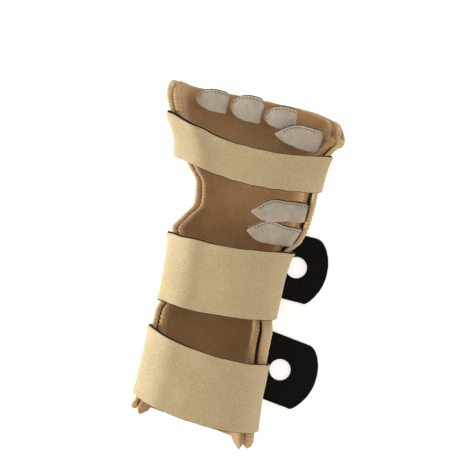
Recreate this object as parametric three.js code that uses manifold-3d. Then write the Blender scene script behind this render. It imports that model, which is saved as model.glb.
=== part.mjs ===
// A right-hand resting hand splint: a padded trough for forearm, wrist and palm, held by three wide straps
// with pull tabs, four finger straps and two short dorsal tabs. It lies palm side down.
// Millimetres. +Y points to the fingertips, +X to the little-finger side, +Z to the back of the hand.
// The origin lies on the surface that the splint rests on, under the forearm strap.

import * as THREE from "three";
import * as BufferGeometryUtils from "three/addons/utils/BufferGeometryUtils.js";
import Module from "manifold-3d";

const wasm = await Module();
wasm.setup();

// Trough: overall sizes
const SPLINT_LENGTH = 246;
const ORIGIN_SHARE = 0.155;
const FOREARM_WIDTH = 88;
const HAND_WIDTH = 124;
const WALL_HEIGHT = 32;
const PALM_RISE = 22;
const CORNER_RADIUS = 16;
const CORNER_SHARE = 0.8;
const SEAT_GAP = 0.3;

// Trough: the outer shell and the liner that lies in it
const SHELL_WALL = 3.2;
const SHELL_BEAD = 0.8;
const LINER_WALL = 4.2;
const LINER_BEAD = 0.9;
const BEAD_REACH = 9;
const FULL_BEAD_WALL = 27;
const LINER_GAP = 0.5;
const LINER_INSET = 2.5;
const ROLL_FILL = 0.85;
const ROLL_REACH = 15;
const RIM_ROUND = 2.5;
const PROXIMAL_SKEW = 0.13;
const PROXIMAL_CORNER = 3;
const PROXIMAL_SLANT = 0.42;
const SLANT_DEPTH = 14;
const SHELL_PRONG = 0.2;
const LINER_PRONG = 2.4;
const PROXIMAL_REACH = 0.07;
const DISTAL_REACH = 0.9;
const LOBE_RADIUS = 24;
const RADIAL_CORNER = 6;

// Wide straps
const STRAP_THICKNESS = 2.6;
const WIDE_STRAP_WIDTH = 50;
const HAND_STRAP_WIDTH = 26;
const FOREARM_CROWN = 61;
const WRIST_CROWN = 57;
const HAND_CROWN = 66;
const ARCH_SQUARENESS = 2.5;

// Pull tabs
const TAB_THICKNESS = 2;
const TAB_END_RADIUS = 36;
const TAB_FINGER_CORNER = 7;
const TAB_WRIST_CORNER = 2.5;
const TAB_CORNER_SHARE = 0.6;
const TAB_HOLE_RADIUS = 7.9;
const TAB_LAP = 5;
const TAB_SLOPE = 3.2;

// Finger straps and dorsal tabs
const LOOP_THICKNESS = 1.4;
const LOOP_WIDTH = 7;
const FINGER_HEIGHT = 18.5;
const LEAF_THICKNESS = 1.4;
const LEAF_WIDTH = 15.5;
const LEAF_BITE = 0.4;
const LOOP_SQUARENESS = 2.4;

// Trough sections from the forearm end to the finger end. at: share of the splint length. width: the size
// that the two reaches are shares of half of. wall: shares of the wall height. lean: degrees outwards.
// rise: share of the palm rise. liner: how many degrees more upright the liner stands than the shell.
const SECTIONS = [
  { at: 0, width: FOREARM_WIDTH, radial: 1.12, ulnar: 1.02, radialWall: 0.86, ulnarWall: 0.9,
    radialLean: 12, ulnarLean: 20, radialLiner: 6, ulnarLiner: 12, rise: 0 },
  { at: 0.106, width: FOREARM_WIDTH, radial: 1.03, ulnar: 0.955, radialWall: 0.98, ulnarWall: 1,
    radialLean: 6, ulnarLean: 20, radialLiner: 4, ulnarLiner: 14, rise: 0 },
  { at: 0.216, width: FOREARM_WIDTH, radial: 1.02, ulnar: 0.935, radialWall: 1, ulnarWall: 1,
    radialLean: 5, ulnarLean: 20, radialLiner: 4, ulnarLiner: 16, rise: 0 },
  { at: 0.33, width: FOREARM_WIDTH, radial: 1.02, ulnar: 0.93, radialWall: 1, ulnarWall: 1,
    radialLean: 5, ulnarLean: 20, radialLiner: 4, ulnarLiner: 17, rise: 0 },
  { at: 0.38, width: FOREARM_WIDTH, radial: 0.94, ulnar: 0.88, radialWall: 0.99, ulnarWall: 1,
    radialLean: 5, ulnarLean: 18, radialLiner: 4, ulnarLiner: 16, rise: 0 },
  { at: 0.472, width: FOREARM_WIDTH, radial: 0.955, ulnar: 0.87, radialWall: 0.97, ulnarWall: 1,
    radialLean: 5, ulnarLean: 16, radialLiner: 4, ulnarLiner: 15, rise: 0 },
  { at: 0.549, width: FOREARM_WIDTH, radial: 0.99, ulnar: 0.9, radialWall: 0.86, ulnarWall: 0.98,
    radialLean: 7, ulnarLean: 14, radialLiner: 4, ulnarLiner: 12, rise: 0.02 },
  { at: 0.578, width: FOREARM_WIDTH, radial: 1.05, ulnar: 0.94, radialWall: 0.72, ulnarWall: 0.95,
    radialLean: 12, ulnarLean: 12, radialLiner: 4, ulnarLiner: 12, rise: 0.05 },
  { at: 0.614, width: HAND_WIDTH, radial: 0.66, ulnar: 0.775, radialWall: 0.42, ulnarWall: 0.91,
    radialLean: 28, ulnarLean: 9, radialLiner: 3, ulnarLiner: 15, rise: 0.11 },
  { at: 0.663, width: HAND_WIDTH, radial: 0.55, ulnar: 0.825, radialWall: 0.3, ulnarWall: 0.87,
    radialLean: 46, ulnarLean: 7, radialLiner: 3, ulnarLiner: 20, rise: 0.24 },
  { at: 0.724, width: HAND_WIDTH, radial: 0.58, ulnar: 0.84, radialWall: 0.34, ulnarWall: 0.85,
    radialLean: 40, ulnarLean: 6, radialLiner: 3, ulnarLiner: 20, rise: 0.45 },
  { at: 0.765, width: HAND_WIDTH, radial: 0.7, ulnar: 0.84, radialWall: 0.58, ulnarWall: 0.85,
    radialLean: 24, ulnarLean: 6, radialLiner: 3, ulnarLiner: 15, rise: 0.62 },
  { at: 0.805, width: HAND_WIDTH, radial: 0.82, ulnar: 0.84, radialWall: 0.88, ulnarWall: 0.86,
    radialLean: 13, ulnarLean: 7, radialLiner: 3, ulnarLiner: 8, rise: 0.76 },
  { at: 0.866, width: HAND_WIDTH, radial: 0.94, ulnar: 0.87, radialWall: 1, ulnarWall: 0.86,
    radialLean: 13, ulnarLean: 12, radialLiner: 3, ulnarLiner: 5, rise: 0.93 },
  { at: 0.927, width: HAND_WIDTH, radial: 1.05, ulnar: 1, radialWall: 1.02, ulnarWall: 0.84,
    radialLean: 17, ulnarLean: 22, radialLiner: 3, ulnarLiner: 4, rise: 1 },
  { at: 0.968, width: HAND_WIDTH, radial: 1.1, ulnar: 1.01, radialWall: 1, ulnarWall: 0.78,
    radialLean: 19, ulnarLean: 26, radialLiner: 3, ulnarLiner: 4, rise: 1 },
  { at: 1, width: HAND_WIDTH, radial: 1.11, ulnar: 0.98, radialWall: 0.94, ulnarWall: 0.68,
    radialLean: 20, ulnarLean: 28, radialLiner: 3, ulnarLiner: 4, rise: 0.96 },
];

// Where each strap crosses. at: share of the splint length at mid-width. radialShift, ulnarShift and
// tabShift: how much nearer the fingers it lies over the two walls and at its tab, as shares of its width.
// tabTurn: degrees. hold: how far its forearm-side half keeps clear where the thumb wall turns inwards.
const STRAPS = {
  forearm: { at: 0.141, width: WIDE_STRAP_WIDTH, crown: FOREARM_CROWN, stand: 0.55,
    radialShift: 0.2, ulnarShift: 0, tabShift: 0.44, tabTurn: -9, hold: 0 },
  wrist: { at: 0.457, width: WIDE_STRAP_WIDTH, crown: WRIST_CROWN, stand: 1.45,
    radialShift: 0.03, ulnarShift: 0.09, tabShift: 0.4, tabTurn: -3, hold: 0 },
  hand: { at: 0.796, width: HAND_STRAP_WIDTH, crown: HAND_CROWN, stand: 0.6,
    radialShift: 0.35, ulnarShift: 0.22, tabShift: 0.3, tabTurn: 0, hold: 0.6 },
};

// Pull tabs. root: how far inside the wall's outer face the tab begins. hole: how far from the strap's end
// the hole's middle lies, in hole radii. end: how far the tab goes on from the hole's middle.
const PULL_TABS = {
  forearm: { root: 10, hole: 2.2, end: 28 },
  wrist: { root: 6, hole: 1.6, end: 23.5 },
};

// Finger loops. across: share of half the hand width. at: share of the splint length. span: loop half-width
// as a share of half the finger height. low: how much lower the loop is, as a share of the finger height.
// tip: 1 where the leaf's tip stands clear of the loop.
const FINGERS = [
  { name: "index_finger_strap", across: -0.585, at: 0.962, span: 1.06, low: 0, tip: 0 },
  { name: "middle_finger_strap", across: -0.178, at: 0.966, span: 1.06, low: 0, tip: 0 },
  { name: "ring_finger_strap", across: 0.224, at: 0.955, span: 1.06, low: 0.02, tip: 0 },
  { name: "little_finger_strap", across: 0.566, at: 0.911, span: 0.86, low: 0.14, tip: 1 },
];

// Widths of a finger strap's leaf and of a dorsal tab, from the little-finger end to the tip.
const LEAF_OUTLINE = [
  { at: 0, width: 0.66 },
  { at: 0.25, width: 0.98 },
  { at: 0.52, width: 1 },
  { at: 0.72, width: 0.84 },
  { at: 0.88, width: 0.46 },
  { at: 1, width: 0.08 },
];
const TAB_OUTLINE = [
  { at: 0, width: 0.6 },
  { at: 0.25, width: 0.96 },
  { at: 0.66, width: 1 },
  { at: 0.8, width: 0.84 },
  { at: 0.91, width: 0.46 },
  { at: 1, width: 0.08 },
];

// The two dorsal tabs, from the slit in the little-finger wall to the tip. at and tipAt: shares of the splint
// length. tipAcross: share of half the hand width. tipHeight: share of the wall height above the liner's rim.
const DORSAL_TABS = [
  { name: "distal_dorsal_tab", at: 0.697, tipAt: 0.677, tipAcross: 0.13, tipHeight: 0.42 },
  { name: "proximal_dorsal_tab", at: 0.622, tipAt: 0.62, tipAcross: 0.125, tipHeight: 0.5 },
];
// TAB_DEPTH: how deep they stand in the slit. TAB_HALFWAY: how much of its height a tab has gained halfway.
const TAB_DEPTH = 1.4;
const SLIT_SHARE = 0.5;
const TAB_HALFWAY = 0.85;
const DORSAL_TAB_STEPS = 14;

const BEIGE_FABRIC = new THREE.MeshStandardMaterial({ color: 0xb49670, roughness: 0.95, metalness: 0 });
const LINER_FABRIC = new THREE.MeshStandardMaterial({ color: 0xb98a58, roughness: 0.9, metalness: 0 });
const STRAP_FABRIC = new THREE.MeshStandardMaterial({ color: 0xb7a27c, roughness: 0.9, metalness: 0 });
const TAUPE_SUEDE = new THREE.MeshStandardMaterial({ color: 0xb2a492, roughness: 0.9, metalness: 0 });
const BLACK_LAMINATE = new THREE.MeshStandardMaterial({ color: 0x161615, roughness: 0.85, metalness: 0 });

const FLOOR_TO_SHELL = STRAP_THICKNESS + SEAT_GAP;
const LINER_OFFSET = SHELL_WALL + LINER_GAP;
const radians = THREE.MathUtils.degToRad;
const along = (share) => (share - ORIGIN_SHARE) * SPLINT_LENGTH;
const shareAt = (y) => THREE.MathUtils.clamp(y / SPLINT_LENGTH + ORIGIN_SHARE, 0, 1);

// Smooth value of a table's column, without overshoot between rows.
function column(rows, name, at) {
  const value = (row) => (typeof name === "function" ? name(row) : row[name]);
  const last = rows.length - 1;
  let i = rows.findIndex((row, k) => k === last - 1 || at < rows[k + 1].at);
  i = Math.max(0, i);
  const slope = (k) => (value(rows[k + 1]) - value(rows[k])) / (rows[k + 1].at - rows[k].at);
  const tangent = (k) => {
    if (k === 0) return slope(0);
    if (k === last) return slope(last - 1);
    const before = slope(k - 1);
    const after = slope(k);
    return before * after <= 0 ? 0 : (2 * before * after) / (before + after);
  };
  const span = rows[i + 1].at - rows[i].at;
  const t = THREE.MathUtils.clamp((at - rows[i].at) / span, 0, 1);
  const a = value(rows[i]);
  const b = value(rows[i + 1]);
  const ta = tangent(i) * span;
  const tb = tangent(i + 1) * span;
  return a + ta * t + (3 * (b - a) - 2 * ta - tb) * t * t + (2 * (a - b) + ta + tb) * t * t * t;
}

const riseAt = (y) => FLOOR_TO_SHELL + PALM_RISE * column(SECTIONS, "rise", shareAt(y));

// One side of the shell's outside at y: a flat bottom out to centre, a corner arc and a straight wall.
function shellSide(y, side) {
  const share = shareAt(y);
  const lean = radians(column(SECTIONS, side + "Lean", share));
  const height = WALL_HEIGHT * column(SECTIONS, side + "Wall", share);
  const reach = column(SECTIONS, (row) => (row[side] * row.width) / 2, share);
  const radius = Math.min(CORNER_RADIUS, (CORNER_SHARE * height) / (1 - Math.sin(lean)));
  const wall = (height - radius * (1 - Math.sin(lean))) / Math.cos(lean);
  const centre = reach - radius * Math.cos(lean) - wall * Math.sin(lean);
  return { centre, radius, height: radius, lean, wall };
}

// The liner's outside: an arc about the same centre, then a wall that stands a little more upright.
function linerSide(y, side) {
  const shell = shellSide(y, side);
  const lean = shell.lean - radians(column(SECTIONS, side + "Liner", shareAt(y)));
  const radius = shell.radius - LINER_OFFSET;
  const shellTop = shell.height - shell.radius * Math.sin(shell.lean) + shell.wall * Math.cos(shell.lean);
  const top = side === "ulnar" ? shellTop + LINER_INSET * (1 - 2 * palmShare(y)) : shellTop;
  const wall = (top - shell.height + radius * Math.sin(lean)) / Math.cos(lean);
  return { centre: shell.centre, radius, height: shell.height, lean, wall };
}

// 0 on the forearm, 1 on the palm.
function palmShare(y) {
  return THREE.MathUtils.smoothstep(shareAt(y), SECTIONS[5].at, SECTIONS[8].at);
}

// A point on a side's outside and the direction out of it. leg: 0 to 1 along the bottom, 1 to 2 round the
// corner, 2 to 3 up the wall.
function sidePoint(side, leg) {
  if (leg <= 1) return { x: side.centre * leg, z: side.height - side.radius, nx: 0, nz: -1 };
  const turn = (Math.PI / 2 - side.lean) * Math.min(leg - 1, 1);
  const nx = Math.sin(turn);
  const nz = -Math.cos(turn);
  const up = side.wall * Math.max(leg - 2, 0);
  return {
    x: side.centre + side.radius * nx + up * Math.sin(side.lean),
    z: side.height + side.radius * nz + up * Math.cos(side.lean),
    nx,
    nz,
  };
}

const BOTTOM_STEPS = 2;
const CORNER_STEPS = 4;
const WALL_STEPS = 3;
const LEGS = [
  ...Array.from({ length: BOTTOM_STEPS }, (_, k) => (k + 1) / BOTTOM_STEPS),
  ...Array.from({ length: CORNER_STEPS }, (_, k) => 1 + (k + 1) / CORNER_STEPS),
  ...Array.from({ length: WALL_STEPS }, (_, k) => 2 + (k + 1) / WALL_STEPS),
];

// The slit between the liner and the shell in the little-finger wall, this far below the liner's rim.
function slitAt(y, below) {
  const shell = shellSide(y, "ulnar");
  const liner = linerSide(y, "ulnar");
  const shellRim = sidePoint(shell, 3);
  const linerRim = sidePoint(liner, 3);
  const z = linerRim.z - below;
  const thickness = (SHELL_WALL + SHELL_BEAD) / Math.cos(shell.lean);
  const outer = shellRim.x - (shellRim.z - z) * Math.tan(shell.lean) - thickness;
  const inner = linerRim.x - below * Math.tan(liner.lean);
  return { inner, outer, z };
}

// How much thicker the shell's little-finger rim is on the forearm, where it lies beside the liner's rim.
function rollAt(y) {
  const slit = slitAt(y, 0);
  return ROLL_FILL * Math.max(0, slit.outer - slit.inner) * (1 - palmShare(y));
}

// The section from the thumb side's rim, round the bottom, to the little-finger side's rim. Each wall is a
// little thicker towards its rim, and less so where the wall is low.
function sectionPoints(y, sideOf, wall, bead) {
  const half = (name, sign) => {
    const side = sideOf(y, name);
    const corner = side.radius * (Math.PI / 2 - side.lean);
    const tall = Math.min(1, side.wall / FULL_BEAD_WALL);
    const roll = sideOf === shellSide && name === "ulnar" ? rollAt(y) : 0;
    return LEGS.map((leg) => {
      const p = sidePoint(side, leg);
      const fromRim = leg >= 2 ? side.wall * (3 - leg) : side.wall + corner * Math.min(2 - leg, 1);
      const beaded = bead * tall * Math.max(0, 1 - fromRim / BEAD_REACH);
      const thickness = wall + beaded + roll * Math.max(0, 1 - fromRim / ROLL_REACH);
      return { ...p, x: p.x * sign, nx: p.nx * sign, fromRim, thickness, sign };
    });
  };
  const ulnar = half("ulnar", 1);
  const middle = { ...ulnar[0], x: 0, nx: 0, nz: -1, fromRim: Infinity, thickness: wall };
  return [...half("radial", -1).reverse(), middle, ...ulnar];
}

// How far a rounded corner of the blank draws back the ends at a point this far from the rim.
function drawnBack(radius, fromRim) {
  const into = radius - Math.min(fromRim, radius);
  return radius - Math.sqrt(radius * radius - into * into);
}

const nearStart = (y) => THREE.MathUtils.clamp(1 - shareAt(y) / PROXIMAL_REACH, 0, 1);
const nearEnd = (y) => THREE.MathUtils.clamp((shareAt(y) - DISTAL_REACH) / (1 - DISTAL_REACH), 0, 1);

// The forearm end is cut askew: how far that moves a point at this x.
const skewAt = (x, y) => -PROXIMAL_SKEW * nearStart(y) * x;

// A point of the trough in its place, this far out from the outside.
function placed(y, p, offset, prong) {
  const x = p.x + p.nx * offset;
  const back = drawnBack(p.sign > 0 ? LOBE_RADIUS : RADIAL_CORNER, p.fromRim) * nearEnd(y);
  const cut = drawnBack(PROXIMAL_CORNER, p.fromRim) + PROXIMAL_SLANT * Math.min(p.fromRim, SLANT_DEPTH);
  const forth = (cut - prong) * nearStart(y) ** 2;
  return new THREE.Vector3(x, y + skewAt(x, y) + forth - back, riseAt(y) + p.z + p.nz * offset);
}

const ROWS = 36;
const RIM_TURNS = [0.3, 0.7];
const TROUGH_YS = Array.from({ length: ROWS }, (_, i) => along(i / (ROWS - 1)));

// One of the two layers, with rounded rims. prong: how much longer its walls are at the forearm end.
function trough(sideOf, wall, bead, prong) {
  const rings = TROUGH_YS.map((y) => {
    const points = sectionPoints(y, sideOf, wall, bead);
    const outer = points.map((p) => placed(y, p, 0, prong));
    const inner = points.map((p) => placed(y, p, -p.thickness, prong));
    const cap = (p) =>
      RIM_TURNS.map((turn) => {
        const tangent = { x: -p.nz * p.sign, z: p.nx * p.sign };
        const out = Math.min(p.thickness / 2, RIM_ROUND) * Math.sin(Math.PI * turn);
        const across = (p.thickness / 2) * (1 - Math.cos(Math.PI * turn));
        const rim = { ...p, x: p.x + tangent.x * out, z: p.z + tangent.z * out };
        return placed(y, rim, -across, prong);
      });
    return { outer, inner, start: cap(points[0]), end: cap(points[points.length - 1]) };
  });
  const loops = rings.map((r) =>
    [...r.outer, ...r.end, ...[...r.inner].reverse(), ...[...r.start].reverse()]);
  return closedLoft(loops, (n) => endFaces(rings[0].outer.length, n));
}

// Triangles that close an end loop: a strip between outside and inside, and a fan at each rim.
function endFaces(count, n) {
  const faces = [];
  const inner = (k) => 2 * count + 1 - k;
  for (let k = 0; k < count - 1; k++) {
    faces.push([k, k + 1, inner(k + 1)], [k, inner(k + 1), inner(k)]);
  }
  faces.push([count - 1, count, count + 1], [count - 1, count + 1, inner(count - 1)]);
  faces.push([inner(0), inner(0) + 1, n - 1], [inner(0), n - 1, 0]);
  return faces;
}

// A closed solid through loops of equally many points, with its two ends closed by the given triangles.
// The first half of each loop is the outside and the second half the inside, split along matching diagonals.
function closedLoft(loops, closing, ring = false) {
  const n = loops[0].length;
  const positions = loops.flatMap((loop) => loop.flatMap((p) => [p.x, p.y, p.z]));
  const index = [];
  const spans = ring ? loops.length : loops.length - 1;
  for (let i = 0; i < spans; i++) {
    const j = (i + 1) % loops.length;
    for (let k = 0; k < n; k++) {
      const next = (k + 1) % n;
      const [a, b, c, d] = [i * n + k, i * n + next, j * n + next, j * n + k];
      index.push(...(k < n / 2 ? [a, b, c, a, c, d] : [a, b, d, b, c, d]));
    }
  }
  if (!ring) {
    const last = (loops.length - 1) * n;
    closing(n).forEach(([a, b, c]) => index.push(a, c, b, last + a, last + b, last + c));
  }
  const geometry = new THREE.BufferGeometry();
  geometry.setAttribute("position", new THREE.Float32BufferAttribute(positions, 3));
  geometry.setIndex(index);
  return facingOut(geometry);
}

function facingOut(geometry) {
  const p = geometry.attributes.position;
  const index = geometry.index.array;
  const corner = (i) => new THREE.Vector3().fromBufferAttribute(p, index[i]);
  let volume = 0;
  for (let i = 0; i < index.length; i += 3) {
    volume += corner(i).dot(corner(i + 1).cross(corner(i + 2)));
  }
  if (volume < 0) geometry.setIndex([...index].reverse());
  return geometry;
}

// A flat band: loops of four or more points from a list of stations, each a line of points across the band
// with a direction out of it.
function band(stations, thickness, ring = false) {
  const loops = stations.map((line) => [
    ...line.map((p) => p.at.clone()),
    ...[...line].reverse().map((p) => p.at.clone().addScaledVector(p.out, thickness)),
  ]);
  const wide = stations[0].length;
  const closing = (n) => {
    const faces = [];
    for (let k = 0; k < wide - 1; k++) {
      faces.push([k, k + 1, n - 2 - k], [k, n - 2 - k, n - 1 - k]);
    }
    return faces;
  };
  return closedLoft(loops, closing, ring);
}

// The parabola through three points.
function parabola([x0, y0], [x1, y1], [x2, y2]) {
  return (x) =>
    (y0 * (x - x1) * (x - x2)) / ((x0 - x1) * (x0 - x2)) +
    (y1 * (x - x0) * (x - x2)) / ((x1 - x0) * (x1 - x2)) +
    (y2 * (x - x0) * (x - x1)) / ((x2 - x0) * (x2 - x1));
}

const rimReach = (y, side) => sidePoint(shellSide(y, side), 3).x;

const UP_LEGS = [2.12, 2.55, 3];
const DOWN_LEGS = [3, 2.5, 2, 1.75, 1.5, 1.25, 1];
const ARCH_STEPS = 18;
const UNDER_STEPS = 5;
const ACROSS = [-0.5, -0.33, -0.17, 0, 0.17, 0.33, 0.5];
const COURSE_PASSES = 6;

// A strap's run, in steps: up the little-finger wall, over the arch, down the thumb wall, under the bottom.
function strapSteps() {
  const shares = (steps) => Array.from({ length: steps }, (_, k) => (k + 1) / steps);
  return [
    ...UP_LEGS.map((leg) => ({ part: "ulnar", leg })),
    ...shares(ARCH_STEPS).slice(0, -1).map((turn) => ({ part: "arch", turn })),
    ...DOWN_LEGS.map((leg) => ({ part: "radial", leg })),
    ...shares(UNDER_STEPS).map((far) => ({ part: "under", far })),
  ];
}

// Which section of the thumb wall a strap follows at y: on its forearm side it keeps more of its own width.
function heldAt(y, leg, strap) {
  const middle = along(strap.at) + strap.radialShift * strap.width;
  return y + strap.hold * THREE.MathUtils.smoothstep(leg, 1, 2) * Math.max(0, middle - y);
}

// A strap's inner surface at y: the shell's outside with a gap, or the arch between the two rims.
function strapPoint(y, step, strap) {
  if (step.part === "ulnar" || step.part === "radial") {
    const sign = step.part === "ulnar" ? 1 : -1;
    const at = step.part === "ulnar" ? y : heldAt(y, step.leg, strap);
    const p = sidePoint(shellSide(at, step.part), step.leg);
    const stand = THREE.MathUtils.lerp(SEAT_GAP, strap.stand, Math.sqrt(Math.min(step.leg - 1, 1)));
    return {
      x: sign * (p.x + p.nx * stand),
      z: riseAt(at) + p.z + p.nz * stand,
      out: new THREE.Vector3(sign * p.nx, 0, p.nz),
    };
  }
  if (step.part === "under") {
    const from = -sidePoint(shellSide(y, "radial"), 1).x;
    const z = (step.flat ? FLOOR_TO_SHELL : riseAt(y)) - SEAT_GAP;
    return { x: from + (step.end(y) - from) * step.far, z, out: new THREE.Vector3(0, 0, -1) };
  }
  const u = strapPoint(y, { part: "ulnar", leg: 3 }, strap);
  const r = strapPoint(y, { part: "radial", leg: 3 }, strap);
  const angle = Math.PI * step.turn;
  const power = 2 / ARCH_SQUARENESS;
  const c = Math.cos(angle);
  const s = Math.sin(angle);
  const half = (u.x - r.x) / 2;
  const foot = u.z + ((r.z - u.z) * (1 - c)) / 2;
  const lift = strap.crown - (u.z + r.z) / 2;
  const x = (u.x + r.x) / 2 + half * Math.sign(c) * Math.abs(c) ** power;
  const z = foot + lift * s ** power;
  const nx = (Math.sign(c) * Math.abs(c) ** (2 - power)) / half;
  const nz = s ** (2 - power) / lift;
  return { x, z, out: new THREE.Vector3(nx, 0, nz).normalize() };
}

// Where a strap's middle line lies: over the back of the limb, and under the trough on its way to the tab.
function strapCourse(strap) {
  const y = along(strap.at);
  const radial = -rimReach(y, "radial");
  const ulnar = rimReach(y, "ulnar");
  const over = parabola(
    [radial, y + strap.radialShift * strap.width],
    [0, y],
    [ulnar, y + strap.ulnarShift * strap.width],
  );
  const tabY = y + strap.tabShift * strap.width;
  const slope = Math.tan(radians(strap.tabTurn));
  const span = radial - ulnar;
  const bend = (y + strap.radialShift * strap.width - tabY - slope * span) / span ** 2;
  const under = (x) => tabY + slope * (x - ulnar) + bend * (x - ulnar) ** 2;
  return { over, under, ulnar };
}

// A strap's band. end: the x at which its run under the trough stops, at each y. flat: true where that run
// lies on the floor all the way.
function strapGeometry(strap, end, flat) {
  const course = strapCourse(strap);
  const stations = strapSteps().map((step) =>
    ACROSS.map((share) => {
      let y = along(strap.at);
      let p;
      for (let pass = 0; pass < COURSE_PASSES; pass++) {
        p = strapPoint(y - (p ? skewAt(p.x, y) : 0), { ...step, end, flat }, strap);
        const line = step.part === "ulnar" || step.part === "arch" ? course.over : course.under;
        const lying = step.part === "radial" ? (3 - step.leg) / 2 : 1;
        const slope = lying * (line(p.x + 0.5) - line(p.x - 0.5));
        y = line(p.x) + share * strap.width * Math.sqrt(1 + slope * slope);
      }
      return { at: new THREE.Vector3(p.x, y, p.z), out: p.out };
    }),
  );
  return band(stations, STRAP_THICKNESS);
}

const TAB_CURVE_STEPS = 12;

// Stations of the strip that joins a tab's plate to the strap: shares of the lap, then of the slope.
const SLOPE_STEPS = [-1, 0, 0.25, 0.5, 0.75, 1, 1.2];

// A pull tab: a strip whose root lies on the strap's end, under the trough's rounded corner, and slopes down
// to a plate that lies flat, with straight sides, a round end and rounded corners between them.
function pullTab(strap, tab) {
  const half = strap.width / 2;
  const corner = Math.sqrt(TAB_END_RADIUS ** 2 - half ** 2);
  const back = -tab.hole * TAB_HOLE_RADIUS - TAB_LAP;
  const flat = back + TAB_LAP + TAB_SLOPE;
  const middle = tab.end - TAB_END_RADIUS;
  const arcStart = TAB_WRIST_CORNER / TAB_END_RADIUS - Math.asin(half / TAB_END_RADIUS);
  const arcEnd = Math.asin(half / TAB_END_RADIUS) - TAB_FINGER_CORNER / TAB_END_RADIUS;
  const bendX = middle + TAB_END_RADIUS * Math.cos(arcStart);
  const bendY = TAB_END_RADIUS * Math.sin(arcStart);
  const shape = new THREE.Shape();
  shape.moveTo(flat, half);
  shape.lineTo(flat, -half);
  shape.lineTo(middle + corner - TAB_CORNER_SHARE * TAB_WRIST_CORNER, -half);
  shape.quadraticCurveTo(middle + corner, -half, bendX, bendY);
  shape.absarc(middle, 0, TAB_END_RADIUS, arcStart, arcEnd, false);
  shape.quadraticCurveTo(middle + corner, half, middle + corner - TAB_CORNER_SHARE * TAB_FINGER_CORNER, half);
  shape.closePath();
  shape.holes.push(new THREE.Path().absarc(0, 0, TAB_HOLE_RADIUS, 0, 2 * Math.PI, true));
  const extrude = { depth: TAB_THICKNESS, bevelEnabled: false, curveSegments: TAB_CURVE_STEPS };
  const plate = new THREE.ExtrudeGeometry(shape, extrude);
  const stations = SLOPE_STEPS.map((step) => {
    const x = step <= 0 ? back + (1 + step) * TAB_LAP : back + TAB_LAP + step * TAB_SLOPE;
    const z = FLOOR_TO_SHELL * (1 - THREE.MathUtils.smoothstep(x, back + TAB_LAP, flat));
    return [-half, half].map((y) => ({
      at: new THREE.Vector3(x, y, z),
      out: new THREE.Vector3(0, 0, 1),
    }));
  });
  return geometryOf(solid(plate).add(solid(band(stations, TAB_THICKNESS))));
}

function superellipse(angle, a, b, squareness) {
  const power = 2 / squareness;
  const c = Math.cos(angle);
  const s = Math.sin(angle);
  return {
    x: a * Math.sign(c) * Math.abs(c) ** power,
    z: b * Math.sign(s) * Math.abs(s) ** power,
    out: new THREE.Vector3(
      (Math.sign(c) * Math.abs(c) ** (2 - power)) / a, 0, (Math.sign(s) * Math.abs(s) ** (2 - power)) / b,
    ).normalize(),
  };
}

const linerFloor = (y) => riseAt(y) + LINER_OFFSET + LINER_WALL;

const LOOP_STEPS = 20;
const LEAF_STEPS = 12;

// A finger leaf's two ends round its loop, as half turns from the little-finger side, and where a leaf with a
// standing tip leaves the loop. The tip's run and lift are shares of the finger height.
const LEAF_START = -0.02;
const LEAF_END = 0.91;
const LEAF_LEAVES = 0.45;
const TIP_RUN = 1.4;
const TIP_LIFT = 0.42;
const TIP_DRIFT = 0.1;
const TIP_LEVELS_AT = 0.71;

// A finger's loop: a band round the finger that stands on the liner.
function fingerLoop(f) {
  const x = (f.across * HAND_WIDTH) / 2;
  const y = along(f.at);
  const a = (f.span * FINGER_HEIGHT) / 2;
  const b = (FINGER_HEIGHT * (1 - f.low)) / 2;
  const floor = Math.max(linerFloor(y - LOOP_WIDTH / 2), linerFloor(y + LOOP_WIDTH / 2), linerFloor(y));
  const z = floor + SEAT_GAP + LOOP_THICKNESS + b;
  return { x, y, z, a, b };
}

function loopGeometry(loop) {
  const stations = Array.from({ length: LOOP_STEPS }, (_, k) => {
    const p = superellipse((2 * Math.PI * k) / LOOP_STEPS, loop.a, loop.b, LOOP_SQUARENESS);
    return [-0.5, 0.5].map((share) => ({
      at: new THREE.Vector3(loop.x + p.x, loop.y + share * LOOP_WIDTH, loop.z + p.z),
      out: p.out,
    }));
  });
  return band(stations, LOOP_THICKNESS, true);
}

// A pointed leaf: widths from the outline, along the given line of points. slant: how far a point's width
// turns towards the little finger.
function leafGeometry(points, outline) {
  const stations = points.map((p, k) => {
    const half = (LEAF_WIDTH * column(outline, "width", k / (points.length - 1))) / 2;
    return [-1, 1].map((side) => ({
      at: new THREE.Vector3(p.x + side * half * p.slant, p.y + side * half, p.z),
      out: p.out,
    }));
  });
  return band(stations, LEAF_THICKNESS);
}

// The leaf over a finger's loop. A standing tip goes straight on from where it leaves the loop.
function fingerLeaf(f, loop) {
  const a = loop.a + LOOP_THICKNESS - LEAF_BITE;
  const b = loop.b + LOOP_THICKNESS - LEAF_BITE;
  const points = Array.from({ length: LEAF_STEPS + 1 }, (_, k) => {
    const turn = THREE.MathUtils.lerp(LEAF_START, LEAF_END, k / LEAF_STEPS);
    const free = f.tip * Math.max(0, (turn - LEAF_LEAVES) / (LEAF_END - LEAF_LEAVES));
    const p = superellipse(Math.PI * (free > 0 ? LEAF_LEAVES : turn), a, b, LOOP_SQUARENESS);
    const lift = Math.sin((Math.min(free / TIP_LEVELS_AT, 1) * Math.PI) / 2);
    return {
      x: loop.x + p.x - free * TIP_RUN * FINGER_HEIGHT,
      y: loop.y + free * TIP_DRIFT * LOOP_WIDTH,
      z: loop.z + p.z + lift * TIP_LIFT * FINGER_HEIGHT,
      out: free > 0 ? new THREE.Vector3(0, 0, 1) : p.out,
      slant: 0,
    };
  });
  return leafGeometry(points, LEAF_OUTLINE);
}

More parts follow.
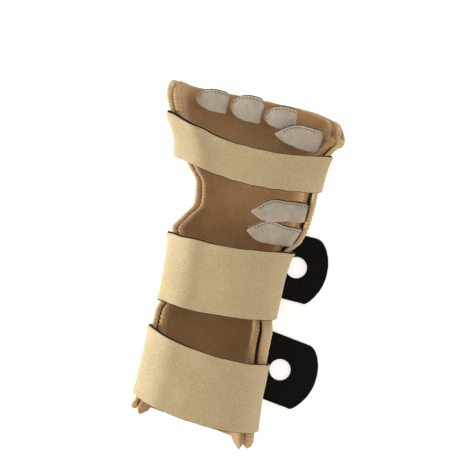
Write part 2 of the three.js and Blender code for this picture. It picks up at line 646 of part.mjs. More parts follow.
// Where a tab stands in the slit, this far below the liner's rim.
function slitMiddle(y, below) {
  const slit = slitAt(y, below);
  return new THREE.Vector3(THREE.MathUtils.lerp(slit.inner, slit.outer, SLIT_SHARE), y, riseAt(y) + slit.z);
}

// A tab's middle line comes straight up out of the slit, bends over the liner's rim and rises to the tip.
function dorsalTab(tab) {
  const y = along(tab.at);
  const root = slitMiddle(y, TAB_DEPTH);
  const mouth = slitMiddle(y, 0);
  const tip = new THREE.Vector3(
    (tab.tipAcross * HAND_WIDTH) / 2, along(tab.tipAt), mouth.z + tab.tipHeight * WALL_HEIGHT,
  );
  const slant = (slitMiddle(y + LEAF_WIDTH / 2, 0).x - slitMiddle(y - LEAF_WIDTH / 2, 0).x) / LEAF_WIDTH;
  const over = mouth.z + LINER_WALL;
  const line = new THREE.CatmullRomCurve3([
    root,
    mouth,
    new THREE.Vector3(mouth.x, y, mouth.z + LINER_WALL / 2),
    new THREE.Vector3(mouth.x - LINER_WALL / 2, y, over + LEAF_THICKNESS),
    new THREE.Vector3(mouth.x - 2 * LINER_WALL, y, over + 2 * LEAF_THICKNESS),
    new THREE.Vector3((mouth.x + tip.x) / 2, (y + tip.y) / 2, over + (tip.z - over) * TAB_HALFWAY),
    tip,
  ], false, "centripetal");
  const points = Array.from({ length: DORSAL_TAB_STEPS + 1 }, (_, k) => {
    const share = k / DORSAL_TAB_STEPS;
    const p = line.getPointAt(share);
    const d = line.getTangentAt(share);
    const out = new THREE.Vector3(d.z, 0, -d.x).normalize();
    const start = p.addScaledVector(out, -LEAF_THICKNESS / 2);
    return { x: start.x, y: start.y, z: start.z, out, slant: slant * (1 - share) };
  });
  return leafGeometry(points, TAB_OUTLINE);
}

// The distance within which corners are taken as one.
const WELD = 1e-3;

function solid(geometry) {
  const bare = geometry.clone();
  bare.deleteAttribute("normal");
  bare.deleteAttribute("uv");
  const merged = BufferGeometryUtils.mergeVertices(bare, WELD);
  return new wasm.Manifold(new wasm.Mesh({
    numProp: 3,
    vertProperties: new Float32Array(merged.attributes.position.array),
    triVerts: new Uint32Array(merged.index.array),
  }));
}

function geometryOf(manifold) {
  const mesh = manifold.getMesh();
  const geometry = new THREE.BufferGeometry();
  geometry.setAttribute("position", new THREE.BufferAttribute(new Float32Array(mesh.vertProperties), 3));
  geometry.setIndex(new THREE.BufferAttribute(new Uint32Array(mesh.triVerts), 1));
  return geometry;
}

const splint = new THREE.Group();

function add(name, geometry, material) {
  const mesh = new THREE.Mesh(geometry, material);
  mesh.name = name;
  splint.add(mesh);
  return mesh;
}

add("shell", trough(shellSide, SHELL_WALL, SHELL_BEAD, SHELL_PRONG), BEIGE_FABRIC);
add("liner", trough(linerSide, LINER_WALL, LINER_BEAD, LINER_PRONG), LINER_FABRIC);

for (const name of ["forearm", "wrist"]) {
  const strap = STRAPS[name];
  const course = strapCourse(strap);
  const lapEnd = course.ulnar - PULL_TABS[name].root + TAB_LAP;
  const slant = -Math.tan(radians(strap.tabTurn));
  const end = (y) => lapEnd - SEAT_GAP + slant * (y - course.under(lapEnd));
  add(name + "_strap", strapGeometry(strap, end, true), STRAP_FABRIC);
  const tab = add(name + "_pull_tab", pullTab(strap, PULL_TABS[name]), BLACK_LAMINATE);
  const hole = PULL_TABS[name].hole * TAB_HOLE_RADIUS;
  tab.rotation.z = radians(strap.tabTurn);
  tab.position.set(
    lapEnd + hole * Math.cos(tab.rotation.z), course.under(lapEnd) + hole * Math.sin(tab.rotation.z), 0,
  );
}
add("hand_strap", strapGeometry(STRAPS.hand, () => 0, false), STRAP_FABRIC);

for (const f of FINGERS) {
  const loop = fingerLoop(f);
  const joined = solid(loopGeometry(loop)).add(solid(fingerLeaf(f, loop)));
  add(f.name, geometryOf(joined), TAUPE_SUEDE);
}
for (const tab of DORSAL_TABS) {
  add(tab.name, dorsalTab(tab), TAUPE_SUEDE);
}

export default splint;
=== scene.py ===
import math
from collections import namedtuple

import bpy
import numpy as np
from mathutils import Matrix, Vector


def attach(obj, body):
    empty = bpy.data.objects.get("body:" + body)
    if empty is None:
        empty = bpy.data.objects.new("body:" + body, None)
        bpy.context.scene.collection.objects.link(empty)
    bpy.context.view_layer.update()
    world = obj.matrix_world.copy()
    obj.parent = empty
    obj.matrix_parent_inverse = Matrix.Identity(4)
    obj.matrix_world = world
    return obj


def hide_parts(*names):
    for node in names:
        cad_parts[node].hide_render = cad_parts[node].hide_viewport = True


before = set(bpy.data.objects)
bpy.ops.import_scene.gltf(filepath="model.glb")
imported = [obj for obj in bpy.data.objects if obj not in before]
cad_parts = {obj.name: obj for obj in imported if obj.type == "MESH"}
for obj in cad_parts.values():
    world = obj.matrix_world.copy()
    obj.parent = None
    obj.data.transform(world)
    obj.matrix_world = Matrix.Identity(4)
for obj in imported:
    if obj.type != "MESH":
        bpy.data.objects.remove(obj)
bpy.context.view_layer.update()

METRES = 0.001

# Trough: the sizes of the frame's own solids
SPLINT_LENGTH = 246
ORIGIN_SHARE = 0.155
FOREARM_WIDTH = 88
HAND_WIDTH = 124
WALL_HEIGHT = 32
PALM_RISE = 22
CORNER_RADIUS = 16
CORNER_SHARE = 0.8
SEAT_GAP = 0.3
SHELL_WALL = 3.2
SHELL_BEAD = 0.8
LINER_WALL = 4.2
LINER_BEAD = 0.9
BEAD_REACH = 9
FULL_BEAD_WALL = 27
LINER_GAP = 0.5
LINER_INSET = 2.5
ROLL_FILL = 0.85
ROLL_REACH = 15
RIM_ROUND = 2.5
PROXIMAL_SKEW = 0.13
PROXIMAL_CORNER = 3
PROXIMAL_SLANT = 0.42
SLANT_DEPTH = 14
SHELL_PRONG = 0.2
LINER_PRONG = 2.4
PROXIMAL_REACH = 0.07
DISTAL_REACH = 0.9
RADIAL_CORNER = 6

# Straps and tabs
STRAP_THICKNESS = 2.6
ARCH_SQUARENESS = 2.5
TAB_THICKNESS = 2
TAB_END_RADIUS = 36
TAB_FINGER_CORNER = 7
TAB_WRIST_CORNER = 2.5
TAB_CORNER_SHARE = 0.6
TAB_HOLE_RADIUS = 7.9
TAB_LAP = 5
TAB_SLOPE = 3.2
LOOP_THICKNESS = 1.4
LOOP_WIDTH = 7
FINGER_HEIGHT = 18.5
LEAF_THICKNESS = 1.4
LEAF_WIDTH = 15.5
LEAF_BITE = 0.4
LOOP_SQUARENESS = 2.4
LEAF_START = -0.02
LEAF_END = 0.91
LEAF_LEAVES = 0.45
TIP_RUN = 1.4
TIP_LIFT = 0.42
TIP_DRIFT = 0.1
TIP_LEVELS_AT = 0.71
TAB_DEPTH = 1.4
SLIT_SHARE = 0.5
TAB_HALFWAY = 0.85

# Trough sections, from the proximal end. radial and ulnar are shares of half of FOREARM_WIDTH or, from
# HAND_STARTS on, of HAND_WIDTH. Walls are shares of WALL_HEIGHT. Leans and liner columns are in degrees.
COLUMNS = "at radial ulnar radial_wall ulnar_wall radial_lean ulnar_lean radial_liner ulnar_liner rise"
SECTIONS = [
    (0, 1.12, 1.02, 0.86, 0.9, 12, 20, 6, 12, 0),
    (0.106, 1.03, 0.955, 0.98, 1, 6, 20, 4, 14, 0),
    (0.216, 1.02, 0.935, 1, 1, 5, 20, 4, 16, 0),
    (0.33, 1.02, 0.93, 1, 1, 5, 20, 4, 17, 0),
    (0.38, 0.94, 0.88, 0.99, 1, 5, 18, 4, 16, 0),
    (0.472, 0.955, 0.87, 0.97, 1, 5, 16, 4, 15, 0),
    (0.549, 0.99, 0.9, 0.86, 0.98, 7, 14, 4, 12, 0.02),
    (0.578, 1.05, 0.94, 0.72, 0.95, 12, 12, 4, 12, 0.05),
    (0.614, 0.66, 0.775, 0.42, 0.91, 28, 9, 3, 15, 0.11),
    (0.663, 0.55, 0.825, 0.3, 0.87, 46, 7, 3, 20, 0.24),
    (0.724, 0.58, 0.84, 0.34, 0.85, 40, 6, 3, 20, 0.45),
    (0.765, 0.7, 0.84, 0.58, 0.85, 24, 6, 3, 15, 0.62),
    (0.805, 0.82, 0.84, 0.88, 0.86, 13, 7, 3, 8, 0.76),
    (0.866, 0.94, 0.87, 1, 0.86, 13, 12, 3, 5, 0.93),
    (0.927, 1.05, 1, 1.02, 0.84, 17, 22, 3, 4, 1),
    (0.968, 1.1, 1.01, 1, 0.78, 19, 26, 3, 4, 1),
    (1, 1.11, 0.98, 0.94, 0.68, 20, 28, 3, 4, 0.96),
]
HAND_STARTS = SECTIONS[8][0]
PALM_STARTS = SECTIONS[5][0]

# at is a share of the splint's length, crown the strap's top and off its distance from the walls. radial,
# ulnar and tab are its shifts at the walls and at the tab, in strap widths. turn is in degrees.
STRAPS = {
    "forearm": dict(at=0.141, width=50, crown=61, off=0.55, radial=0.2, ulnar=0, tab=0.44, turn=-9, hold=0),
    "wrist": dict(at=0.457, width=50, crown=57, off=1.45, radial=0.03, ulnar=0.09, tab=0.4, turn=-3, hold=0),
    "hand": dict(at=0.796, width=26, crown=66, off=0.6, radial=0.35, ulnar=0.22, tab=0.3, turn=0, hold=0.6),
}
PULL_TABS = {
    "forearm": dict(root=10, hole=2.2, end=28),
    "wrist": dict(root=6, hole=1.6, end=23.5),
}
# across is a share of half of HAND_WIDTH, and at of the splint's length
FINGERS = {
    "index": dict(across=-0.585, at=0.962, span=1.06, low=0, tip=0, droop=-0.3, shift=0, wide=1),
    "middle": dict(across=-0.178, at=0.966, span=1.06, low=0, tip=0, droop=0, shift=0, wide=1.18),
    "ring": dict(across=0.224, at=0.955, span=1.06, low=0.02, tip=0, droop=0.8, shift=0, wide=1.04),
    "little": dict(across=0.566, at=0.911, span=0.86, low=0.14, tip=1, droop=1.8, shift=1.8, wide=1.08),
}
LEAF_OUTLINE = [(0, 0.66), (0.25, 0.98), (0.52, 1), (0.72, 0.84), (0.88, 0.46), (1, 0.08)]
TAB_OUTLINE = [(0, 0.6), (0.25, 0.96), (0.66, 1), (0.8, 0.84), (0.91, 0.46), (1, 0.08)]
DORSAL_TABS = {
    "distal": dict(at=0.697, tip_at=0.677, across=0.13, height=0.42),
    "proximal": dict(at=0.622, tip_at=0.62, across=0.125, height=0.5),
}

# Camera, as the photograph was taken
CAMERA_HEIGHT = 1150
CAMERA_OVER = (0, 108)
CAMERA_TURN = 12
FOCAL_PIXELS = 1537.4
IMAGE_PIXELS = 470
SENSOR_WIDTH = 36

# Floor and light, in metres and watts
FLOOR_SIZE = 6.0
FLOOR_GAP = 0.0002
FLOOR_COLOUR = (0.93, 0.93, 0.93, 1)
FLOOR_GLOW = 0.5
WORLD_LIGHT = 0.68
WORLD_TINT = (1.0, 0.965, 0.92, 1)
LIGHT_AIM = (0, 0.1, 0.03)
KEY_PLACE = (-1.5, -0.1, 0.25)
KEY_SIZE = 0.5
KEY_POWER = 19
LIGHT_TINT = (0.87, 0.94, 1.0)
FILL_PLACE = (1.1, 0.3, 1.0)
FILL_SIZE = 1.2
FILL_POWER = 2

# How fine the meshes are
ROW_STEP = 0.55
RIM_ZONE = 12
RIM_COLUMNS = 15
WALL_COLUMNS = 17
EDGE_STEPS = 6
SEAM_COLUMN = EDGE_STEPS + 6
SEAM_ROWS = (3, 6)
CLOTH_STEP = 1.3
COURSE_PASSES = 6
COURSE_ROWS = {"foot": 22, "arch": 84, "wall": 38, "under": 50}
ARCH_ROW = 60
STRAP_RELAX = 10

# The liner's ridge, the rims' ribs, and the ribbed flap at the radial rim's distal end
RIDGE_AT = 0.8
RIDGE_HALF = 1.3
RIDGE_PITCH = 2.6
RIDGE_RISE = 0.8
RIB_PITCH = 2.7
RIB_RISE = 0.45
RIB_REACH = 4.5
ULNAR_RIBS = 0.4
FLAP_START = 158
FLAP_SWELL = 0.5
END_PLAIN = 14

# How the padding leaves the solids' form: at the distal lobe, the proximal ends and the slit, and by its sway
LOBE_RADIUS = 10
LOBE_SLOPE = 0.2
LOBE_DEPTH = 34
POINT_LENGTH = 5
POINT_FULLNESS = 0.35
POINT_DEPTH = 12
BUCKLE = 4
BUCKLE_DEPTH = 26
SLIT_OPENS = 2.4
SLIT_WIDEST = 40
SLIT_CLOSES = 63
WALL_SWAY = 0.6
RIM_SWAY = 0.7
FRAY = 0.5
FRAY_DEPTH = 9

# The straps' two layers, and their shoulders over the radial wall: distance from the edge there, and rise
BACKING_SHARE = 0.5
BACKING_PEEK = 0.45
PEEK_GROWS = 1.4
LAYER_LAP = 0.05
STRAP_EDGE = 0.8
STRAP_END = 1.2
STRAP_SWAY = 0.3
STRAP_FOOT = 2.12
SHOULDER_REACH = 8
SHOULDERS = {"forearm": (15, 1.9), "wrist": (15, 2.2), "hand": (18, 3)}

# Tabs, loops and leaves: waves and edges
TAB_WAVE = 0.9
CLOTH_WAVE = 0.12
LEAF_SWAY = 0.25
LOOP_EDGE = 0.6

# Stitches: the length of each and the gap to the next
LEAF_STITCH = (1.8, 0.9)
TACK_STITCH = (0.9, 0.35)
SHELL_STITCH = (2.4, 1.1)
STRAP_STITCH = (2.2, 1.0)
THREAD_RADIUS = 0.28
THREAD_SIDES = 6
SEAM_INSET = 1.7

# Rows of tacks at a leaf's tip: inset from the edge, where they start and end, and if it is the proximal edge
TACK_ROWS = ((2.6, 0.8, 0.95, False), (1.6, 0.84, 0.96, True))

FLOOR_TO_SHELL = STRAP_THICKNESS + SEAT_GAP
LINER_OFFSET = SHELL_WALL + LINER_GAP

Side = namedtuple("Side", "centre radius height lean wall")


# Tables and small maths


def smooth_table(at, values):
    """A smooth function through a table's column, without overshoot between rows."""
    at = np.asarray(at, float)
    values = np.asarray(values, float)
    slope = np.diff(values) / np.diff(at)
    before, after = slope[:-1], slope[1:]
    alike = before * after > 0
    inner = np.where(alike, 2 * before * after / np.where(alike, before + after, 1), 0)
    tangent = np.concatenate([slope[:1], inner, slope[-1:]])

    def value(x):
        i = np.clip(np.searchsorted(at, x, side="right") - 1, 0, len(at) - 2)
        span = at[i + 1] - at[i]
        t = np.clip((x - at[i]) / span, 0, 1)
        a, b = values[i], values[i + 1]
        ta, tb = tangent[i] * span, tangent[i + 1] * span
        return a + ta * t + (3 * (b - a) - 2 * ta - tb) * t**2 + (2 * (a - b) + ta + tb) * t**3

    return value


def section_functions():
    columns = dict(zip(COLUMNS.split(), np.array(SECTIONS, float).T))
    at = columns.pop("at")
    width = np.where(at < HAND_STARTS, FOREARM_WIDTH, HAND_WIDTH)
    for side in ("radial", "ulnar"):
        columns[side] = columns[side] * width / 2
    return {name: smooth_table(at, values) for name, values in columns.items()}


SHAPE = section_functions()


def smoothstep(x, low, high):
    t = np.clip((x - low) / (high - low), 0, 1)
    return t * t * (3 - 2 * t)


def along(share):
    return (share - ORIGIN_SHARE) * SPLINT_LENGTH


def share_at(y):
    return np.clip(y / SPLINT_LENGTH + ORIGIN_SHARE, 0, 1)


def rise_at(y):
    return FLOOR_TO_SHELL + PALM_RISE * SHAPE["rise"](share_at(y))


def unit(v):
    return v / np.maximum(np.linalg.norm(v, axis=-1, keepdims=True), 1e-9)


def vectors(x, y, z):
    return np.stack(np.broadcast_arrays(x, y, z), axis=-1).astype(float)


def ripple(u, v, seed):
    """Smooth noise from -1 to 1, with bumps about one unit apart."""
    size = 64
    lattice = np.random.default_rng(seed).uniform(-1, 1, (size, size))
    u, v = np.broadcast_arrays(np.asarray(u, float), np.asarray(v, float))
    i, j = np.floor(u).astype(int), np.floor(v).astype(int)
    a, b = smoothstep(u - i, 0, 1), smoothstep(v - j, 0, 1)

    def corner(di, dj):
        return lattice[(i + di) % size, (j + dj) % size]

    low = corner(0, 0) * (1 - a) + corner(1, 0) * a
    high = corner(0, 1) * (1 - a) + corner(1, 1) * a
    return low * (1 - b) + high * b


def roundness(distance, radius):
    """The share of its thickness that a sheet has this far inside its rounded edge."""
    near = 1 - np.clip(distance / radius, 0, 1)
    return np.sqrt(np.clip(1 - near * near, 0, 1))


def spaced(length, radius, step):
    """Places along a length, close together at its two rounded edges."""
    edge = radius * (1 - np.cos(np.linspace(0, np.pi / 2, EDGE_STEPS)))
    count = max(3, round((length - 2 * radius) / step) + 1)
    middle = np.linspace(radius, length - radius, count)[1:-1]
    return np.concatenate([edge, middle, length - edge[::-1]])


def run_along(line):
    return np.concatenate([[0], np.cumsum(np.linalg.norm(np.diff(line, axis=0), axis=1))])


def even(line, count):
    """A line's points placed again at even distances."""
    run = run_along(line)
    places = np.linspace(0, run[-1], count)
    return np.stack([np.interp(places, run, line[:, k]) for k in range(3)], axis=-1)


def relax(grid, passes):
    """A grid with its rows drawn towards their neighbours, which rounds off kinks along it."""
    for _ in range(passes):
        inner = 0.25 * grid[:-2] + 0.5 * grid[1:-1] + 0.25 * grid[2:]
        grid = np.concatenate([grid[:1], inner, grid[-1:]])
    return grid


# The trough's sections


def shell_side(y, side):
    share = share_at(y)
    lean = np.radians(SHAPE[side + "_lean"](share))
    height = WALL_HEIGHT * SHAPE[side + "_wall"](share)
    reach = SHAPE[side](share)
    radius = np.minimum(CORNER_RADIUS, CORNER_SHARE * height / (1 - np.sin(lean)))
    wall = (height - radius * (1 - np.sin(lean))) / np.cos(lean)
    centre = reach - radius * np.cos(lean) - wall * np.sin(lean)
    return Side(centre, radius, radius, lean, wall)


def palm_share(y):
    return smoothstep(share_at(y), PALM_STARTS, HAND_STARTS)


def liner_side(y, side):
    shell = shell_side(y, side)
    lean = shell.lean - np.radians(SHAPE[side + "_liner"](share_at(y)))
    radius = shell.radius - LINER_OFFSET
    top = shell.height - shell.radius * np.sin(shell.lean) + shell.wall * np.cos(shell.lean)
    if side == "ulnar":
        top = top + LINER_INSET * (1 - 2 * palm_share(y))
    wall = (top - shell.height + radius * np.sin(lean)) / np.cos(lean)
    return Side(shell.centre, radius, shell.height, lean, wall)


def corner_run(side):
    return side.radius * (np.pi / 2 - side.lean)


def side_at(side, run):
    """The outside of a section this far from its middle, with the direction out of it."""
    turn = np.clip((run - side.centre) / side.radius, 0, np.pi / 2 - side.lean)
    up = np.maximum(run - side.centre - corner_run(side), 0)
    nx, nz = np.sin(turn), -np.cos(turn)
    x = np.minimum(run, side.centre) + side.radius * nx + up * np.sin(side.lean)
    z = side.height + side.radius * nz + up * np.cos(side.lean)
    return x, z, nx, nz


def leg_run(side, leg):
    """leg 0 to 1 is the flat bottom, 1 to 2 the corner and 2 to 3 the wall."""
    bottom = side.centre * np.minimum(leg, 1)
    return bottom + corner_run(side) * np.clip(leg - 1, 0, 1) + side.wall * np.maximum(leg - 2, 0)


def drawn_back(radius, from_rim):
    into = radius - np.minimum(from_rim, radius)
    return radius - np.sqrt(radius * radius - into * into)


def near_start(y):
    return np.clip(1 - share_at(y) / PROXIMAL_REACH, 0, 1)


def near_end(y):
    return np.clip((share_at(y) - DISTAL_REACH) / (1 - DISTAL_REACH), 0, 1)


def skew_at(x, y):
    return -PROXIMAL_SKEW * near_start(y) * x


def slit_at(y, below):
    """The slit's two faces in the ulnar wall, and their height, this far below the liner's rim."""
    shell, liner = shell_side(y, "ulnar"), liner_side(y, "ulnar")
    shell_x, shell_z = side_at(shell, leg_run(shell, 3))[:2]
    liner_x, liner_z = side_at(liner, leg_run(liner, 3))[:2]
    z = liner_z - below
    outer = shell_x - (shell_z - z) * np.tan(shell.lean) - (SHELL_WALL + SHELL_BEAD) / np.cos(shell.lean)
    return liner_x - below * np.tan(liner.lean), outer, z


def roll_at(y):
    """How much thicker the shell's ulnar rim is beside the liner's, up to the palm part."""
    inner, outer, _ = slit_at(y, 0)
    return ROLL_FILL * np.maximum(0, outer - inner) * (1 - palm_share(y))


def trough_half(side_of, name, sign, y, wall, bead, prong):
    """Half of a layer, from rim to middle: surface, directions, thickness, distance from the rim, and cap."""
    side = Side(*[np.broadcast_to(part, y.shape) for part in side_of(y, name)])
    rim = wall + bead * np.minimum(1, side.wall / FULL_BEAD_WALL)
    roll = 0 * y
    if side_of is shell_side and name == "ulnar":
        opened = smoothstep(y, 0, SLIT_WIDEST / 2) * (1 - smoothstep(y, SLIT_WIDEST, SLIT_CLOSES))
        roll = np.maximum(0, roll_at(y) - SLIT_OPENS * opened * (0.8 + 0.4 * ripple(y / 9, 0, 23)))
    cap = np.minimum((rim + roll) / 2, RIM_ROUND)
    length = side.centre + corner_run(side) + side.wall + cap
    edge = cap * (1 - np.cos(np.linspace(0, np.pi / 2, EDGE_STEPS)))
    near = cap + (RIM_ZONE - cap) * np.linspace(0, 1, RIM_COLUMNS)[1:]
    far = RIM_ZONE + (length - RIM_ZONE) * np.linspace(0, 1, WALL_COLUMNS)[1:]
    distance = np.concatenate([edge, near, far], axis=1)
    from_rim = np.maximum(distance - cap, 0)
    thickness = wall + (rim - wall) * np.maximum(0, 1 - from_rim / BEAD_REACH)
    thickness = thickness + roll * np.maximum(0, 1 - from_rim / ROLL_REACH)
    x, z, nx, nz = side_at(side, length - distance)
    x, nx = x * sign, nx * sign
    if sign > 0:
        back = drawn_back(LOBE_RADIUS, from_rim) + LOBE_SLOPE * np.maximum(0, LOBE_DEPTH - from_rim)
    else:
        back = drawn_back(RADIAL_CORNER, from_rim)
    back = back * near_end(y)
    cut = drawn_back(PROXIMAL_CORNER, from_rim) + PROXIMAL_SLANT * np.minimum(from_rim, SLANT_DEPTH)
    forth = (cut - prong) * near_start(y) ** 2
    buckle = BUCKLE * near_start(y) * np.sin(np.pi * np.minimum(from_rim / BUCKLE_DEPTH, 1))
    mid_x = x - nx * thickness / 2 - sign * buckle
    mid_z = rise_at(y) + z - nz * thickness / 2
    mid = vectors(mid_x, y + skew_at(mid_x, y) + forth - back, mid_z)
    out = vectors(nx, 0, nz)
    rimward = vectors(-nz * sign, 0, nx * sign)
    return mid, out, rimward, thickness, distance, cap + 0 * distance


def trough_layer(side_of, wall, bead, prong, relief):
    """The two faces of a layer of the trough, with a tone for the colour: 0.5 plain, 1 raised, 0 sunk. The
    tone paints light on raised crests and shade in sunk grooves, and also marks lighter rims and dark seams.
    """
    y = along(0) + spaced(SPLINT_LENGTH, wall / 2, ROW_STEP)[:, None]
    radial = trough_half(side_of, "radial", -1, y, wall, bead, prong)
    ulnar = trough_half(side_of, "ulnar", 1, y, wall, bead, prong)
    mid, out, rimward, thickness, distance, cap = [
        np.concatenate([a, b[:, -2::-1]], axis=1) for a, b in zip(radial, ulnar)
    ]
    pointed = 1 - smoothstep(distance, POINT_DEPTH / 2, POINT_DEPTH)
    taper = np.clip((y - y[0]) / POINT_LENGTH, 0, 1) ** POINT_FULLNESS
    ends = roundness(np.minimum(y - y[0], y[-1] - y), wall / 2) * (1 - pointed * (1 - taper))
    half = thickness / 2
    near = 1 - np.clip(distance / cap, 0, 1)
    full = roundness(distance, cap) * ends
    across = np.sign(mid[..., 0])
    sway = WALL_SWAY * ripple(y / 17, distance / 14 + across * 7, 3) * (1 - smoothstep(distance, 6, 26))
    mid = mid + out * sway[..., None]
    wander = RIM_SWAY * ripple(y / 13, across * 9, 5) * (1 - smoothstep(distance, 0, 14))
    mid = mid + rimward * wander[..., None]
    frayed = 1 - smoothstep(np.minimum(y - y[0], y[-1] - y), 0, FRAY_DEPTH)
    mid[..., 1] += FRAY * frayed * ripple(distance / 9 + across * 5, 2.5, 7)
    faces, shading_and_seam_maps = [], []
    for turn in (1, -1):
        rise, tone = relief(y, distance * turn, across)
        rise = rise * ends * np.where(across > 0, 1 - smoothstep(y, y[-1] - END_PLAIN, y[-1] - 2), 1)
        lift = (half * full + rise * full)[..., None] * turn * out
        beyond = (rise * near)[..., None] * rimward
        faces.append(mid + lift + beyond)
        shading_and_seam_maps.append(np.broadcast_to(tone, distance.shape))
    return faces, shading_and_seam_maps


def rib_strands(y, distance, across):
    """Uneven ribs across a rim, and how far down from the rim they go."""
    window = 1 - smoothstep(np.abs(distance), RIB_REACH, RIB_REACH + 2)
    phase = y / RIB_PITCH - across * distance * 0.12 + 0.8 * ripple(y / 8, distance / 5, 17)
    return np.abs(np.sin(np.pi * phase)) * (0.75 + 0.25 * ripple(y / 3, distance / 4, 18)), window


def ridge_relief(y, distance, across):
    """The liner's rim: a thin beaded ridge beside the shell, and ribs on the flap. Its tone paints light on
    the crests, shade between them and below the ridge, and a dark seam on the flap.
    """
    place = distance - RIDGE_AT
    window = np.exp(-((place / RIDGE_HALF) ** 2))
    phase = y / RIDGE_PITCH + across * distance * 0.1 + 0.9 * ripple(y / 11, across * 3, 11)
    bead = np.abs(np.sin(np.pi * phase)) * (0.7 + 0.3 * ripple(y / 4, across * 5, 12))
    rise = RIDGE_RISE * window * bead + 0.3 * ripple(y / 15, distance / 6, 13)
    rise = rise + 0.08 * ripple(y / 2.1, distance / 2.1, 14)
    # A painted shaded strip below the ridge, on the side towards the shell; the tone also paints light on the
    # bead crests and shade between them.
    beside = np.exp(-(((place - 1.6 * RIDGE_HALF) / 0.6) ** 2))
    tone = 0.5 + 0.5 * window * (bead - 0.2) - 0.3 * beside
    strand, ribbed = rib_strands(y, distance, across)
    seam = np.exp(-(((distance + RIB_REACH) / 0.8) ** 2))
    fuzzy = RIB_RISE * ribbed * (strand - 0.4) + FLAP_SWELL * ribbed * (distance > 0) - 0.4 * seam
    flap = smoothstep(y, FLAP_START, FLAP_START + 8) * (across < 0)
    rise = rise + (fuzzy - rise) * flap
    # On the flap the tone is a lighter ribbed band, with painted light on the rib crests, painted shade
    # between them and a dark seam.
    tone = tone + (0.55 + ribbed * (0.25 + (strand - 0.5) * 0.6) - 0.5 * seam - tone) * flap
    return rise, tone


def rib_relief(y, distance, across):
    """The shell's rim: uneven ribs across its edge, a seam on the outside and a puckered face. Its tone
    lightens the rim, paints light on the rib crests and shade between them, and darkens the seam.
    """
    reach = np.abs(distance)
    strand, window = rib_strands(y, distance, across)
    seam = np.exp(-(((reach - RIB_REACH - 2.2) / 0.7) ** 2)) * (distance > 0)
    strand = 0.5 + (strand - 0.5) * np.where(across < 0, 1, ULNAR_RIBS)
    rise = RIB_RISE * window * (strand - 0.4) - 0.3 * seam
    rise = rise + 0.25 * ripple(y / 12, distance / 6, 19) + 0.1 * ripple(y / 2.3, distance / 2.3, 20)
    # The tone: a lighter rim, painted light on the rib crests, painted shade between them and a darker seam.
    tone = 0.5 + window * (0.12 + (strand - 0.5) * 0.5) - 0.3 * seam
    return rise, tone


# Meshes


def closed_sheet(front, back, ring=False):
    """Points and faces of a body between two grids that meet along their borders. ring: its rows go round."""
    rows, columns = front.shape[:2]
    top = np.arange(rows * columns).reshape(rows, columns)
    under = top + rows * columns
    under[:, 0] = top[:, 0]
    under[:, -1] = top[:, -1]
    if not ring:
        under[0] = top[0]
        under[-1] = top[-1]

    def quads(grid):
        if ring:
            grid = np.vstack([grid, grid[:1]])
        corners = [grid[:-1, :-1], grid[1:, :-1], grid[1:, 1:], grid[:-1, 1:]]
        return np.stack(corners, axis=-1).reshape(-1, 4)

    points = np.concatenate([front.reshape(-1, 3), back.reshape(-1, 3)])
    faces = np.concatenate([quads(top), quads(under)[:, ::-1]])
    used, faces = np.unique(faces, return_inverse=True)
    faces = faces.reshape(-1, 4)
    points = points[used]
    a, b, c, d = (points[faces[:, k]] for k in range(4))
    if np.sum(a * np.cross(b, c)) + np.sum(a * np.cross(c, d)) < 0:
        faces = faces[:, ::-1]
    return points, faces.tolist(), used


def add(name, data):
    made = bpy.data.objects.new(name, data)
    bpy.context.collection.objects.link(made)
    return made


def make(name, points, faces, material, slot, nodes=(), tone=None):
    mesh = bpy.data.meshes.new(name)
    mesh.from_pydata((points * METRES).tolist(), [], faces)
    mesh.shade_smooth()
    mesh.materials.append(material)
    if tone is not None:
        # The tone attribute: painted light on crests, painted shade in grooves, lighter rims and dark seams.
        mesh.attributes.new("tone", "FLOAT", "POINT").data.foreach_set("value", tone.astype(np.float32))
    piece = add(name, mesh)
    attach(piece, "root")
    if nodes:
        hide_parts(*nodes)
    return piece


def make_sheet(name, mid, out, half, material, slot, nodes=(), ring=False):
    thick = half[..., None] * out
    points, faces, _ = closed_sheet(mid + thick, mid - thick, ring)
    return make(name, points, faces, material, slot, nodes)


def threads(lines, ups):
    """Many short threads: lines of points each, with the directions away from the cloth."""
    count, length = lines.shape[:2]
    tangent = unit(np.gradient(lines, axis=1))
    side = unit(np.cross(tangent, ups))
    up = np.cross(side, tangent)
    angle = 2 * np.pi * np.arange(THREAD_SIDES) / THREAD_SIDES
    taper = THREAD_RADIUS * (0.35 + 0.65 * np.sin(np.pi * np.linspace(0.06, 0.94, length)) ** 0.5)
    ring = np.cos(angle)[:, None] * side[:, :, None] + np.sin(angle)[:, None] * up[:, :, None]
    points = lines[:, :, None] + taper[None, :, None, None] * ring
    number = np.arange(count * length * THREAD_SIDES).reshape(count, length, THREAD_SIDES)
    beside = np.roll(number, -1, axis=2)
    quads = np.stack([number[:, :-1], beside[:, :-1], beside[:, 1:], number[:, 1:]], axis=-1)
    caps = number[:, 0, ::-1].tolist() + number[:, -1].tolist()
    return points.reshape(-1, 3), quads.reshape(-1, 4).tolist() + caps


def stitch_lines(line, out, stitch):
    """Stitches along a line on the cloth, each arched out of it."""
    length, gap = stitch
    run = run_along(line)
    pitch = length + gap
    count = int(run[-1] // pitch)
    t = np.linspace(0, 1, 6)
    places = (np.arange(count) * pitch + gap / 2)[:, None] + length * t
    centre = np.stack([np.interp(places, run, line[:, k]) for k in range(3)], axis=-1)
    away = unit(np.stack([np.interp(places, run, out[:, k]) for k in range(3)], axis=-1))
    lift = THREAD_RADIUS * (1.7 * np.sin(np.pi * t) - 0.9)
    return centre + away * lift[None, :, None], away


def make_threads(name, rows, material, slot):
    """Threads of one piece, from pairs of lines and directions."""
    lines = np.concatenate([row[0] for row in rows])
    ups = np.concatenate([row[1] for row in rows])
    points, faces = threads(lines, ups)
    make(name, points, faces, material, slot)


